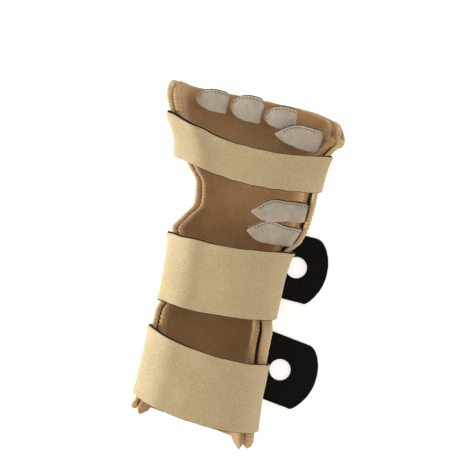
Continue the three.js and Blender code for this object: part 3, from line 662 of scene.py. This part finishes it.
def surface_normals(grid):
    """Directions out of a grid of points, by its own slopes."""
    down = np.gradient(grid, axis=0)
    across = np.gradient(grid, axis=1)
    return unit(np.cross(down, across))


# Materials


def set_inputs(node, **values):
    for name, value in values.items():
        node.inputs[name.replace("_", " ")].default_value = value


def linear(red, green, blue):
    def channel(value):
        value = value / 255
        return value / 12.92 if value <= 0.04045 else ((value + 0.055) / 1.055) ** 2.4

    return (channel(red), channel(green), channel(blue), 1)


class Cloth:
    """A fabric shader in the piece's own coordinates."""

    def __init__(self, name, roughness, sheen):
        self.material = bpy.data.materials.new(name)
        self.material.use_nodes = True
        self.tree = self.material.node_tree
        self.surface = self.tree.nodes["Principled BSDF"]
        set_inputs(self.surface, Roughness=roughness, Sheen_Weight=sheen)
        set_inputs(self.surface, Sheen_Roughness=0.5, Specular_IOR_Level=0.15)
        self.place = self.tree.nodes.new("ShaderNodeTexCoord").outputs["Object"]

    def node(self, kind, **values):
        made = self.tree.nodes.new(kind)
        for name, value in values.items():
            setattr(made, name, value)
        return made

    def join(self, value, socket):
        if isinstance(value, bpy.types.NodeSocket):
            self.tree.links.new(value, socket)
        else:
            socket.default_value = value

    def noise(self, millimetres, detail):
        made = self.node("ShaderNodeTexNoise")
        self.join(self.place, made.inputs["Vector"])
        set_inputs(made, Scale=1000 / millimetres, Detail=detail)
        return made.outputs["Fac"]

    def cells(self, millimetres):
        made = self.node("ShaderNodeTexVoronoi")
        self.join(self.place, made.inputs["Vector"])
        set_inputs(made, Scale=1000 / millimetres)
        return made.outputs["Distance"]

    def spread(self, value, low, high, to_low=0.0, to_high=1.0):
        made = self.node("ShaderNodeMapRange")
        for socket, given in zip(made.inputs, (value, low, high, to_low, to_high)):
            self.join(given, socket)
        return made.outputs["Result"]

    def calculate(self, kind, a, b):
        made = self.node("ShaderNodeMath", operation=kind)
        self.join(a, made.inputs[0])
        self.join(b, made.inputs[1])
        return made.outputs[0]

    # The mesh's tone: painted light on crests, painted shade in grooves, lighter rims and dark seams.
    def tone(self):
        return self.node("ShaderNodeAttribute", attribute_name="tone").outputs["Fac"]

    def mix(self, share, a, b):
        made = self.node("ShaderNodeMix", data_type="RGBA")
        self.join(share, made.inputs["Factor"])
        self.join(a, made.inputs[6])
        self.join(b, made.inputs[7])
        return made.outputs[2]

    def colour(self, value):
        self.join(value, self.surface.inputs["Base Color"])

    def bump(self, height, millimetres):
        made = self.node("ShaderNodeBump")
        set_inputs(made, Strength=1.0, Distance=millimetres * METRES)
        self.join(height, made.inputs["Height"])
        self.join(made.outputs["Normal"], self.surface.inputs["Normal"])


def strap_face():
    """Loop-faced laminate: a fine speckled pile."""
    cloth = Cloth("strap_face", 0.95, 0.12)
    pile = cloth.noise(0.9, 3.0)
    loops = cloth.cells(0.75)
    patches = cloth.noise(16, 2.0)
    plain = cloth.mix(cloth.spread(patches, 0.35, 0.65), linear(190, 166, 124), linear(200, 176, 135))
    lit = cloth.mix(cloth.spread(pile, 0.35, 0.68), plain, linear(214, 192, 151))
    cloth.colour(cloth.mix(cloth.spread(loops, 0.05, 0.5, 0.35, 0.0), lit, linear(150, 128, 92)))
    cloth.bump(cloth.calculate("ADD", pile, cloth.calculate("MULTIPLY", loops, 0.5)), 0.16)
    return cloth.material


def plain_cloth(name, roughness, sheen, grain, window, dark, light, bump):
    """Thread or foam: a fine grain between two colours."""
    cloth = Cloth(name, roughness, sheen)
    fine = cloth.noise(grain, 2.0)
    cloth.colour(cloth.mix(cloth.spread(fine, *window), linear(*dark), linear(*light)))
    cloth.bump(fine, bump)
    return cloth.material


def napped_cloth(name, roughness, sheen, nap, patches, window, colours, bump, relief=None):
    """Dark and light patches under a nap with light specks. relief: the colour of a lighter rim with painted
    highlights on crests, the colour of dark seams and of painted shade in grooves, and the tone at which that
    is full.
    """
    cloth = Cloth(name, roughness, sheen)
    fine = cloth.noise(*nap)
    dark, light, speck = (linear(*colour) for colour in colours)
    plain = cloth.mix(cloth.spread(cloth.noise(patches, 3.0), 0.3, 0.7), dark, light)
    colour = cloth.mix(cloth.spread(fine, *window), plain, speck)
    if relief:
        # The light colour is a lighter rim with painted highlights on crests; the dark colour is dark seams
        # and painted shade in the grooves between ribs and beads.
        rim_and_crest_highlight, seam, full_seam_and_shade_at = relief
        colour = cloth.mix(cloth.spread(cloth.tone(), 0.5, 0.95), colour, linear(*rim_and_crest_highlight))
        colour = cloth.mix(cloth.spread(cloth.tone(), 0.5, full_seam_and_shade_at), colour, linear(*seam))
    cloth.colour(colour)
    cloth.bump(fine, bump)
    return cloth.material


def suede(name, *colours):
    return napped_cloth(name, 0.92, 0.2, (0.5, 4.0), 5, (0.42, 0.75), colours, 0.1)


def thread_fabric(name, dark, light):
    return plain_cloth(name, 0.8, 0.1, 0.3, (0.35, 0.65), dark, light, 0.05)


STRAP_FACE = strap_face()
# The laminate's black foam, which shows at its cut edges
STRAP_BACKING = plain_cloth("strap_backing", 0.9, 0.08, 0.6, (0.35, 0.7), (20, 19, 18), (44, 41, 38), 0.12)
SHELL_FABRIC = napped_cloth(
    "shell_fabric", 0.95, 0.25, (0.8, 4.0), 9, (0.35, 0.7),
    ((187, 151, 104), (207, 173, 126), (226, 194, 148)), 0.22,
    # Relief colours: a lighter rim with painted highlights on crests, and dark seams that also paint shade in
    # the grooves.
    ((236, 206, 158), (112, 82, 52), 0.05),
)
LINER_FABRIC = napped_cloth(
    "liner_fabric", 0.9, 0.3, (0.7, 3.0), 12, (0.35, 0.7),
    ((172, 129, 84), (188, 147, 100), (202, 162, 114)), 0.16,
    # Relief colours as on the shell; the liner's light colour is kept duller, painted shade of the hand that
    # lies in the splint.
    ((214, 179, 133), (96, 66, 38), 0.0),
)
BLACK_FELT = napped_cloth(
    "black_felt", 0.95, 0.06, (0.45, 4.0), 3, (0.55, 0.8),
    ((8, 8, 7), (16, 16, 14), (46, 45, 41)), 0.18,
)
SUEDE = suede("suede", (174, 161, 142), (194, 181, 162), (224, 212, 195))
SUEDE_BACKING = suede("suede_backing", (178, 128, 92), (206, 158, 122), (222, 180, 146))
SUEDE_CORE = suede("suede_core", (24, 21, 18), (38, 33, 29), (58, 52, 46))
TAUPE_THREAD = thread_fabric("taupe_thread", (86, 72, 56), (118, 104, 84))
PEACH_THREAD = thread_fabric("peach_thread", (186, 146, 116), (222, 190, 160))
TAN_THREAD = thread_fabric("tan_thread", (168, 140, 104), (206, 182, 146))


# The trough's pieces


def make_trough(name, side_of, wall, bead, prong, relief, material, slot):
    (front, back), (front_shading_and_seams, back_shading_and_seams) = trough_layer(side_of, wall, bead, prong, relief)
    points, faces, used = closed_sheet(front, back)
    # Per-point tone: painted light and shade of the relief, with lighter rims and dark seams.
    tone = np.concatenate([front_shading_and_seams.ravel(), back_shading_and_seams.ravel()])[used]
    piece = make(name + "_padding", points, faces, material, slot, [name], tone)
    return front


def topstitch(front, column):
    """A line of stitches along the shell's outer face, on one of its mesh's columns."""
    line = front[8:-8, column]
    out = surface_normals(front)[8:-8, column]
    outward = np.sign(line[:, :1]) * np.sign(out[:, :1])
    return stitch_lines(line, out * outward, SHELL_STITCH)


# Straps


def strap_course(strap):
    """A strap's middle line over the trough and under it, and the reach of the ulnar rim."""
    y = along(strap["at"])
    radial = -side_at(shell_side(y, "radial"), leg_run(shell_side(y, "radial"), 3))[0]
    ulnar = side_at(shell_side(y, "ulnar"), leg_run(shell_side(y, "ulnar"), 3))[0]
    shift = [strap["radial"], 0, strap["ulnar"]]
    over = np.poly1d(np.polyfit([radial, 0, ulnar], [y + s * strap["width"] for s in shift], 2))
    tab_y = y + strap["tab"] * strap["width"]
    slope = math.tan(math.radians(strap["turn"]))
    bend = (y + strap["radial"] * strap["width"] - tab_y - slope * (radial - ulnar)) / (radial - ulnar) ** 2

    def under(x):
        return tab_y + slope * (x - ulnar) + bend * (x - ulnar) ** 2

    return over, under, ulnar


def held_at(y, leg, strap):
    """The section of the radial wall that a strap follows: its proximal half keeps more of its width."""
    middle = along(strap["at"]) + strap["radial"] * strap["width"]
    return y + strap["hold"] * smoothstep(leg, 1, 2) * np.maximum(0, middle - y)


def wall_point(name, leg, y, strap):
    sign = 1 if name == "ulnar" else -1
    if name == "radial":
        y = held_at(y, leg, strap)
    side = shell_side(y, name)
    x, z, nx, nz = side_at(side, leg_run(side, leg))
    off = SEAT_GAP + (strap["off"] - SEAT_GAP) * np.sqrt(np.clip(leg - 1, 0, 1))
    return sign * (x + nx * off), rise_at(y) + z + nz * off


def arch_point(turn, y, strap):
    ux, uz = wall_point("ulnar", 3.0, y, strap)
    rx, rz = wall_point("radial", 3.0, y, strap)
    c, s = np.cos(np.pi * turn), np.sin(np.pi * turn)
    power = 2 / ARCH_SQUARENESS
    foot = uz + (rz - uz) * (1 - c) / 2
    lift = strap["crown"] - (uz + rz) / 2
    x = (ux + rx) / 2 + (ux - rx) / 2 * np.sign(c) * np.abs(c) ** power
    return x, foot + lift * np.maximum(s, 0) ** power


def under_point(far, y, end, flat):
    start = -shell_side(y, "radial").centre
    z = (FLOOR_TO_SHELL if flat else rise_at(y)) - SEAT_GAP
    return start + (end(y) - start) * far, z


def strap_inside(strap, across, end, flat):
    """The strap's inner surface: lines of points across it, from the ulnar wall round to its end."""
    over, under, _ = strap_course(strap)
    count = COURSE_ROWS
    down = np.linspace(3, 1, count["wall"])
    parts = [
        (over, np.linspace(STRAP_FOOT, 3, count["foot"]), 1, lambda at, y: wall_point("ulnar", at, y, strap)),
        (over, np.linspace(0, 1, count["arch"])[1:-1], 1, lambda at, y: arch_point(at, y, strap)),
        (under, down, (3 - down[:, None]) / 2, lambda at, y: wall_point("radial", at, y, strap)),
        (under, np.linspace(0, 1, count["under"])[1:], 1, lambda at, y: under_point(at, y, end, flat)),
    ]
    rows = []
    for line, at, lying, place in parts:
        at = at[:, None]
        y = np.full((len(at), len(across)), float(along(strap["at"])))
        x = np.zeros_like(y)
        for _ in range(COURSE_PASSES):
            x, z = place(at, y - skew_at(x, y))
            slope = lying * (line(x + 0.5) - line(x - 0.5))
            y = line(x) + across * np.sqrt(1 + slope**2)
        rows.append(vectors(x, y, z))
    return relax(np.concatenate(rows), STRAP_RELAX)


def strap_normals(grid):
    """Directions out of a strap, away from the hollow that it goes round."""
    out = surface_normals(grid)
    column = grid.shape[1] // 2
    x, _, z = grid[ARCH_ROW, column]
    return -out if np.dot(out[ARCH_ROW, column], (x, 0, z - WALL_HEIGHT)) < 0 else out


def strap_curl(grid, across, width):
    """How far the strap's distal edge curls out, most on the radial side."""
    x = grid[..., 0]
    reach = np.abs(x).max()
    radial = smoothstep(-x, 0.1 * reach, 0.85 * reach)
    ulnar = smoothstep(x, 0.72 * reach, 0.95 * reach)
    edge = smoothstep(across, width / 2 - 6, width / 2)
    top = smoothstep(grid[..., 2], 16, 30)
    return (radial + 0.5 * ulnar + 0.15) * edge**1.5 * top


def make_strap(name, end, flat):
    strap = STRAPS[name]
    width = strap["width"]
    across = spaced(width, STRAP_EDGE, CLOTH_STEP) - width / 2
    grid = strap_inside(strap, across, end, flat)
    from_edge = grid[..., 0] - grid[..., 0].min(axis=0)
    place, rise = SHOULDERS[name]
    shoulder = np.exp(-(((from_edge - place) / SHOULDER_REACH) ** 2))
    grid[..., 2] += rise * shoulder * smoothstep(grid[..., 2], WALL_HEIGHT, 1.5 * WALL_HEIGHT)
    out = strap_normals(grid)
    run = run_along(grid[:, len(across) // 2])[:, None]
    seed = len(name)
    lifted = smoothstep(grid[..., 2], 6, 14)
    curl = strap_curl(grid, across, width)
    sway = STRAP_SWAY * ripple(run / 11, across / 12, 23 + seed) * lifted
    grid = grid + out * (curl + sway)[..., None]
    wave = STRAP_SWAY * ripple(run / 7, np.sign(across) * 5, 29 + seed)
    grid[..., 1] += wave * smoothstep(np.abs(across), width / 2 - 8, width / 2) * lifted
    out = strap_normals(grid)
    ends = roundness(np.minimum(run, run[-1] - run), STRAP_END)
    back_thick = STRAP_THICKNESS * BACKING_SHARE
    face_thick = STRAP_THICKNESS - back_thick
    full = roundness(width / 2 - np.abs(across), STRAP_EDGE) * ends
    mid, half = grid + out * back_thick / 2, back_thick / 2 * full
    backing = make_sheet(name + "_strap_backing", mid, out, half, STRAP_BACKING, "strap_laminate")
    radial = smoothstep(-grid[:, len(across) // 2, :1], 0, 30)
    face_grid = narrowed(grid, across, BACKING_PEEK * (1 + PEEK_GROWS * radial), BACKING_PEEK)
    mid = face_grid + out * (back_thick + face_thick / 2 - LAYER_LAP)
    half = (face_thick / 2 + LAYER_LAP) * full
    node = name + "_strap"
    face = make_sheet(name + "_strap_face", mid, out, half, STRAP_FACE, "strap_laminate", [node])
    flat = (width * METRES, float(run[-1, 0]) * METRES)
    surface = face_grid + out * STRAP_THICKNESS
    seams = [stitch_lines(surface[row, 6:-6], out[row, 6:-6], STRAP_STITCH) for row in SEAM_ROWS]
    make_threads(name + "_strap_stitches", seams, TAN_THREAD, "strap_laminate")


def narrowed(grid, across, distal, proximal):
    """The same surface with its lines drawn in from both edges, by a distance for each row or for all."""
    drawn = np.where(across > 0, distal, proximal)
    wanted = across * (1 - drawn / across[-1]) + np.zeros((len(grid), 1))
    i = np.clip(np.searchsorted(across, wanted) - 1, 0, len(across) - 2)
    rows = np.arange(len(grid))[:, None]
    t = ((wanted - across[i]) / (across[i + 1] - across[i]))[..., None]
    return grid[rows, i] * (1 - t) + grid[rows, i + 1] * t


# Pull tabs


def tab_outline(half, back, end):
    """The tab's outline, with its points close together all the way round."""
    corner = math.sqrt(TAB_END_RADIUS**2 - half**2)
    middle = end - TAB_END_RADIUS
    widest = math.asin(half / TAB_END_RADIUS)
    angles = np.linspace(
        TAB_WRIST_CORNER / TAB_END_RADIUS - widest, widest - TAB_FINGER_CORNER / TAB_END_RADIUS, 56
    )
    arc = np.stack([middle + TAB_END_RADIUS * np.cos(angles), TAB_END_RADIUS * np.sin(angles)], axis=-1)
    low_side = middle + corner - TAB_CORNER_SHARE * TAB_WRIST_CORNER
    high_side = middle + corner - TAB_CORNER_SHARE * TAB_FINGER_CORNER

    def bent(a, b, c, count):
        t = np.arange(count)[:, None] / count
        return (1 - t) ** 2 * np.array(a) + 2 * t * (1 - t) * np.array(b) + t * t * np.array(c)

    def straight(a, b, count):
        return bent(a, (np.array(a) + np.array(b)) / 2, b, count)

    return np.concatenate([
        straight((back, half), (back, -half), 40),
        straight((back, -half), (low_side, -half), 44),
        bent((low_side, -half), (middle + corner, -half), arc[0], 10),
        arc[:-1],
        bent(arc[-1], (middle + corner, half), (high_side, half), 12),
        straight((high_side, half), (back, half), 44),
    ])


def lap_place(name):
    """Where a pull tab ends under its strap, and the tab's slope there."""
    _, under, ulnar = strap_course(STRAPS[name])
    x = ulnar - PULL_TABS[name]["root"] + TAB_LAP
    return x, under(x), math.radians(STRAPS[name]["turn"])


def square_end(name):
    """The line that a wide strap's end follows under the trough, square to its pull tab."""
    x, middle_y, turn = lap_place(name)
    return lambda y: x - SEAT_GAP - math.tan(turn) * (y - middle_y)


def make_pull_tab(name):
    strap, tab = STRAPS[name], PULL_TABS[name]
    back = -tab["hole"] * TAB_HOLE_RADIUS - TAB_LAP
    flat = back + TAB_LAP + TAB_SLOPE
    outline = tab_outline(strap["width"] / 2, back, tab["end"])
    direction = unit(outline)
    reach = np.linalg.norm(outline, axis=1) - TAB_HOLE_RADIUS
    around = np.arange(len(outline))
    reach = reach + CLOTH_WAVE * ripple(around / 3.0, 1.5, 31) * smoothstep(outline[:, 0], flat, flat + 4)
    edge = 1 - np.cos(np.linspace(0, np.pi / 2, EDGE_STEPS))
    middle = np.linspace(0, 1, 20)[1:-1]
    far = reach[:, None]
    distance = np.concatenate([edge + 0 * far, 1 + (far - 2) * middle, far - edge[::-1]], axis=1)
    place = direction[:, None] * (TAB_HOLE_RADIUS + distance)[..., None]
    x, y = place[..., 0], place[..., 1]
    lift = FLOOR_TO_SHELL * (1 - smoothstep(x, back + TAB_LAP, flat))
    lift = lift + CLOTH_WAVE * (1 + ripple(x / 8, y / 8, 37)) * smoothstep(x, flat, flat + 6)
    half = TAB_THICKNESS / 2 * roundness(np.minimum(distance, far - distance), 1)
    lap_x, lap_y, turn = lap_place(name)
    gap = tab["hole"] * TAB_HOLE_RADIUS
    cx = lap_x + gap * math.cos(turn)
    cy = lap_y + gap * math.sin(turn)
    wx = cx + x * math.cos(turn) - y * math.sin(turn)
    wy = cy + x * math.sin(turn) + y * math.cos(turn)
    mid = vectors(wx, wy, lift + TAB_THICKNESS / 2)
    up = vectors(0 * wx, 0, 1)
    node = name + "_pull_tab"
    piece = make_sheet(name + "_pull_tab_felt", mid, up, half, BLACK_FELT, "pull_tab_laminate", [node], True)
    width = strap["width"]
    length = tab["end"] - back
    flat = (width * METRES, length * METRES)


# Finger straps


def superellipse(angle, a, b, squareness):
    power = 2 / squareness
    c, s = np.cos(angle), np.sin(angle)
    x = a * np.sign(c) * np.abs(c) ** power
    z = b * np.sign(s) * np.abs(s) ** power
    out = vectors(np.sign(c) * np.abs(c) ** (2 - power) / a, 0, np.sign(s) * np.abs(s) ** (2 - power) / b)
    return x, z, unit(out)


def finger_loop(finger):
    y = along(finger["at"])
    a = finger["span"] * FINGER_HEIGHT / 2
    b = FINGER_HEIGHT * (1 - finger["low"]) / 2
    edges = np.array([y - LOOP_WIDTH / 2, y, y + LOOP_WIDTH / 2])
    floor = float(np.max(rise_at(edges))) + LINER_OFFSET + LINER_WALL
    return finger["across"] * HAND_WIDTH / 2, y, floor + SEAT_GAP + LOOP_THICKNESS + b, a, b


def make_loop(name, finger):
    cx, cy, cz, a, b = finger_loop(finger)
    angle = np.linspace(0, 2 * np.pi, 121)[:-1]
    x, z, out = superellipse(angle, a, b, LOOP_SQUARENESS)
    across = spaced(LOOP_WIDTH, LOOP_EDGE, 0.9) - LOOP_WIDTH / 2
    half = LOOP_THICKNESS / 2
    mid = vectors((cx + x)[:, None], cy + across, (cz + z)[:, None]) + (out * half)[:, None]
    wave = CLOTH_WAVE * ripple(angle[:, None] * 5, across / 4, 41)
    mid = mid + out[:, None] * wave[..., None]
    thickness = half * roundness(LOOP_WIDTH / 2 - np.abs(across), LOOP_EDGE) * np.ones((len(angle), 1))
    normal = np.broadcast_to(out[:, None], mid.shape)
    return make_sheet(name + "_finger_loop", mid, normal, thickness, SUEDE, "suede", (), True)


def leaf_line(finger, count=90):
    """Middle line of a finger strap's leaf, from its ulnar end to its tip."""
    cx, cy, cz, a, b = finger_loop(finger)
    a = a + LOOP_THICKNESS - LEAF_BITE
    b = b + LOOP_THICKNESS - LEAF_BITE
    turn = LEAF_START + (LEAF_END - LEAF_START) * np.linspace(0, 1, count)
    free = finger["tip"] * np.clip((turn - LEAF_LEAVES) / (LEAF_END - LEAF_LEAVES), 0, 1)
    x, z, _ = superellipse(np.pi * np.where(free > 0, LEAF_LEAVES, turn), a, b, LOOP_SQUARENESS)
    lift = TIP_LIFT * FINGER_HEIGHT * np.sin(np.minimum(free / TIP_LEVELS_AT, 1) * np.pi / 2)
    y = cy + free * TIP_DRIFT * LOOP_WIDTH - (finger["wide"] - 1) * LEAF_WIDTH / 2
    line = vectors(cx + x + finger["shift"] - free * TIP_RUN * FINGER_HEIGHT, y, cz + z + lift)
    return even(relax(line, 4), count)


def tab_line(tab, count=90):
    """Middle line of a dorsal tab, from the slit in the ulnar wall to its tip."""
    y = along(tab["at"])
    root = slit_middle(y, TAB_DEPTH)
    mouth = slit_middle(y, 0)
    height = mouth[2] + tab["height"] * WALL_HEIGHT
    tip = np.array([tab["across"] * HAND_WIDTH / 2, along(tab["tip_at"]), height])
    over = mouth[2] + LINER_WALL
    key = np.array([
        root,
        mouth,
        mouth + [0, 0, LINER_WALL / 2],
        [mouth[0] - LINER_WALL / 2, y, over + LEAF_THICKNESS],
        [mouth[0] - 2 * LINER_WALL, y, over + 2 * LEAF_THICKNESS],
        [(mouth[0] + tip[0]) / 2, (y + tip[1]) / 2, over + (tip[2] - over) * TAB_HALFWAY],
        tip,
    ])
    run = run_along(key)
    places = np.linspace(0, run[-1], 240)
    line = np.stack([smooth_table(run, key[:, k])(places) for k in range(3)], axis=-1)
    reach = LEAF_WIDTH / 2
    slant = (slit_middle(y + reach, 0)[0] - slit_middle(y - reach, 0)[0]) / LEAF_WIDTH
    return even(relax(line, 6), count), slant


def slit_middle(y, below):
    inner, outer, z = slit_at(y, below)
    return np.array([inner + (outer - inner) * SLIT_SHARE, y, float(rise_at(y)) + z])


def leaf_edges(outline, share, droop):
    """How far a leaf reaches to the distal and to the proximal side of its middle line."""
    half = LEAF_WIDTH / 2 * smooth_table(*zip(*outline))(share)
    shift = droop * smoothstep(share, 0.62, 1.0)
    wave = TAB_WAVE * np.cos(2 * np.pi * share / 0.7) * (1 - smoothstep(share, 0.7, 0.95))
    return half - shift + (wave if outline is TAB_OUTLINE else 0), half + shift


def leaf_layer(line, outline, slant, droop, grow, rise, thickness, seed):
    """A layer of a leaf: middle surface, directions and half thickness. grow: how far its edge sticks out."""
    share = np.linspace(0, 1, len(line))
    high, low = leaf_edges(outline, share, droop)
    high = high + grow
    width = (high + low)[:, None]
    radius = np.minimum(thickness / 2 + 0.15, 0.45 * width)
    edge = 1 - np.cos(np.linspace(0, np.pi / 2, EDGE_STEPS))
    middle = np.linspace(0, 1, 14)[1:-1]
    inner = radius + (width - 2 * radius) * middle
    place = np.concatenate([radius * edge, inner, width - radius * edge[::-1]], axis=1)
    across = place - low[:, None]
    grid = np.repeat(line[:, None], place.shape[1], axis=1)
    grid[..., 1] += across
    grid[..., 0] += across * (slant * (1 - share))[:, None]
    out = surface_normals(grid)
    if out[len(line) // 2, place.shape[1] // 2, 2] < 0:
        out = -out
    outward = np.abs(np.clip(across / (LEAF_WIDTH / 2), -1.2, 1.2))
    sway = LEAF_SWAY * ripple(share[:, None] * 5, across / 9, seed) * (0.4 + outward)
    run = run_along(line)[:, None]
    ends = roundness(np.minimum(run, run[-1] - run), 0.9)
    mid = grid + out * (rise + thickness / 2 + sway)[..., None]
    half = thickness / 2 * roundness(np.minimum(place, width - place), radius) * ends
    return mid, out, half, place, width


def leaf_stitches(leaf, inset, first, last, proximal=False):
    """A row of stitches that keeps its distance from one edge of a leaf."""
    mid, out, half, place, width = leaf
    wanted = inset + 0 * width[:, 0] if proximal else width[:, 0] - inset
    both = np.concatenate([mid + out * half[..., None], out], axis=-1)
    rows = range(int(first * len(mid)), int(last * len(mid)))
    found = np.array([[np.interp(wanted[i], place[i], both[i, :, k]) for k in range(6)] for i in rows])
    return found[:, :3], found[:, 3:]


def make_leaf(name, node, line, outline, slant, droop, layers, seed):
    """A pointed leaf: suede on top, with the layers under it that show at its distal edge."""
    top = leaf_layer(line, outline, slant, droop, 0, LEAF_THICKNESS - 1.0, 1.0, seed)
    piece = make_sheet(name, *top[:3], SUEDE, "suede", [node])
    for label, material, grow, rise, thickness in layers:
        layer = leaf_layer(line, outline, slant, droop, grow, rise, thickness, seed)
        make_sheet(name + label, *layer[:3], material, "suede")
    seam = leaf_stitches(top, SEAM_INSET, 0.06, 0.93)
    make_threads(name + "_seam", [stitch_lines(*seam, LEAF_STITCH)], TAUPE_THREAD, "suede")
    tacks = [stitch_lines(*leaf_stitches(top, *row), TACK_STITCH) for row in TACK_ROWS]
    make_threads(name + "_tacks", tacks, PEACH_THREAD, "suede")
    length = float(run_along(line)[-1])


# Build the pieces

shell_outside = make_trough(
    "shell", shell_side, SHELL_WALL, SHELL_BEAD, SHELL_PRONG, rib_relief, SHELL_FABRIC, "shell_fabric"
)
make_trough(
    "liner", liner_side, LINER_WALL, LINER_BEAD, LINER_PRONG, ridge_relief, LINER_FABRIC, "liner_fabric"
)
last = shell_outside.shape[1] - 1
seams = [topstitch(shell_outside, column) for column in (SEAM_COLUMN, last - SEAM_COLUMN, last - EDGE_STEPS)]
make_threads("shell_topstitch", seams, TAN_THREAD, "shell_fabric")

for name in PULL_TABS:
    make_strap(name, square_end(name), True)
    make_pull_tab(name)
make_strap("hand", lambda y: 0 * y, False)

# A layer's name, its material, how far its edge sticks out, its height over the leaf's line and its thickness
CORE_LAYER = ("_core", SUEDE_CORE, 0.7, 0.05, 0.6)
BACKING_LAYER = ("_backing", SUEDE_BACKING, 1.2, -0.35, 0.55)
for seed, (name, finger) in enumerate(FINGERS.items()):
    loop = make_loop(name, finger)
    line = leaf_line(finger)
    outline = [(at, reach * finger["wide"]) for at, reach in LEAF_OUTLINE]
    piece, node = name + "_finger_leaf", name + "_finger_strap"
    make_leaf(piece, node, line, outline, 0, finger["droop"], [CORE_LAYER], 43 + seed)
for seed, (name, tab) in enumerate(DORSAL_TABS.items()):
    line, slant = tab_line(tab)
    layers = [CORE_LAYER, BACKING_LAYER]
    make_leaf(name + "_tab_leaf", name + "_dorsal_tab", line, TAB_OUTLINE, slant, 1.2, layers, 53 + seed)


# Floor, light and camera


def make_floor():
    mesh = bpy.data.meshes.new("floor")
    corners = [(x * FLOOR_SIZE, y * FLOOR_SIZE, -FLOOR_GAP) for x, y in ((-1, -1), (1, -1), (1, 1), (-1, 1))]
    mesh.from_pydata(corners, [], [(0, 1, 2, 3)])
    material = bpy.data.materials.new("floor")
    material.use_nodes = True
    surface = material.node_tree.nodes["Principled BSDF"]
    set_inputs(surface, Base_Color=FLOOR_COLOUR, Roughness=1.0, Specular_IOR_Level=0.0)
    set_inputs(surface, Emission_Color=(1, 1, 1, 1), Emission_Strength=FLOOR_GLOW)
    mesh.materials.append(material)
    add("floor", mesh)


def area_light(name, place, size, power):
    light = bpy.data.lights.new(name, "AREA")
    light.shape = "DISK"
    light.size = size
    light.energy = power
    light.color = LIGHT_TINT
    lamp = add(name, light)
    lamp.location = place
    lamp.rotation_mode = "QUATERNION"
    lamp.rotation_quaternion = (Vector(LIGHT_AIM) - Vector(place)).to_track_quat("-Z", "Y")


def make_light():
    world = bpy.data.worlds.new("studio")
    bpy.context.scene.world = world
    world.use_nodes = True
    set_inputs(world.node_tree.nodes["Background"], Color=WORLD_TINT, Strength=WORLD_LIGHT)
    area_light("key", KEY_PLACE, KEY_SIZE, KEY_POWER)
    area_light("fill", FILL_PLACE, FILL_SIZE, FILL_POWER)


def make_camera():
    data = bpy.data.cameras.new("camera")
    data.sensor_width = SENSOR_WIDTH
    data.lens = SENSOR_WIDTH * FOCAL_PIXELS / IMAGE_PIXELS
    camera = add("camera", data)
    camera.location = (CAMERA_OVER[0] * METRES, CAMERA_OVER[1] * METRES, CAMERA_HEIGHT * METRES)
    camera.rotation_euler = (0, 0, math.radians(CAMERA_TURN))
    bpy.context.scene.camera = camera


make_floor()
make_light()
make_camera()
bpy.context.scene.view_settings.view_transform = "Standard"
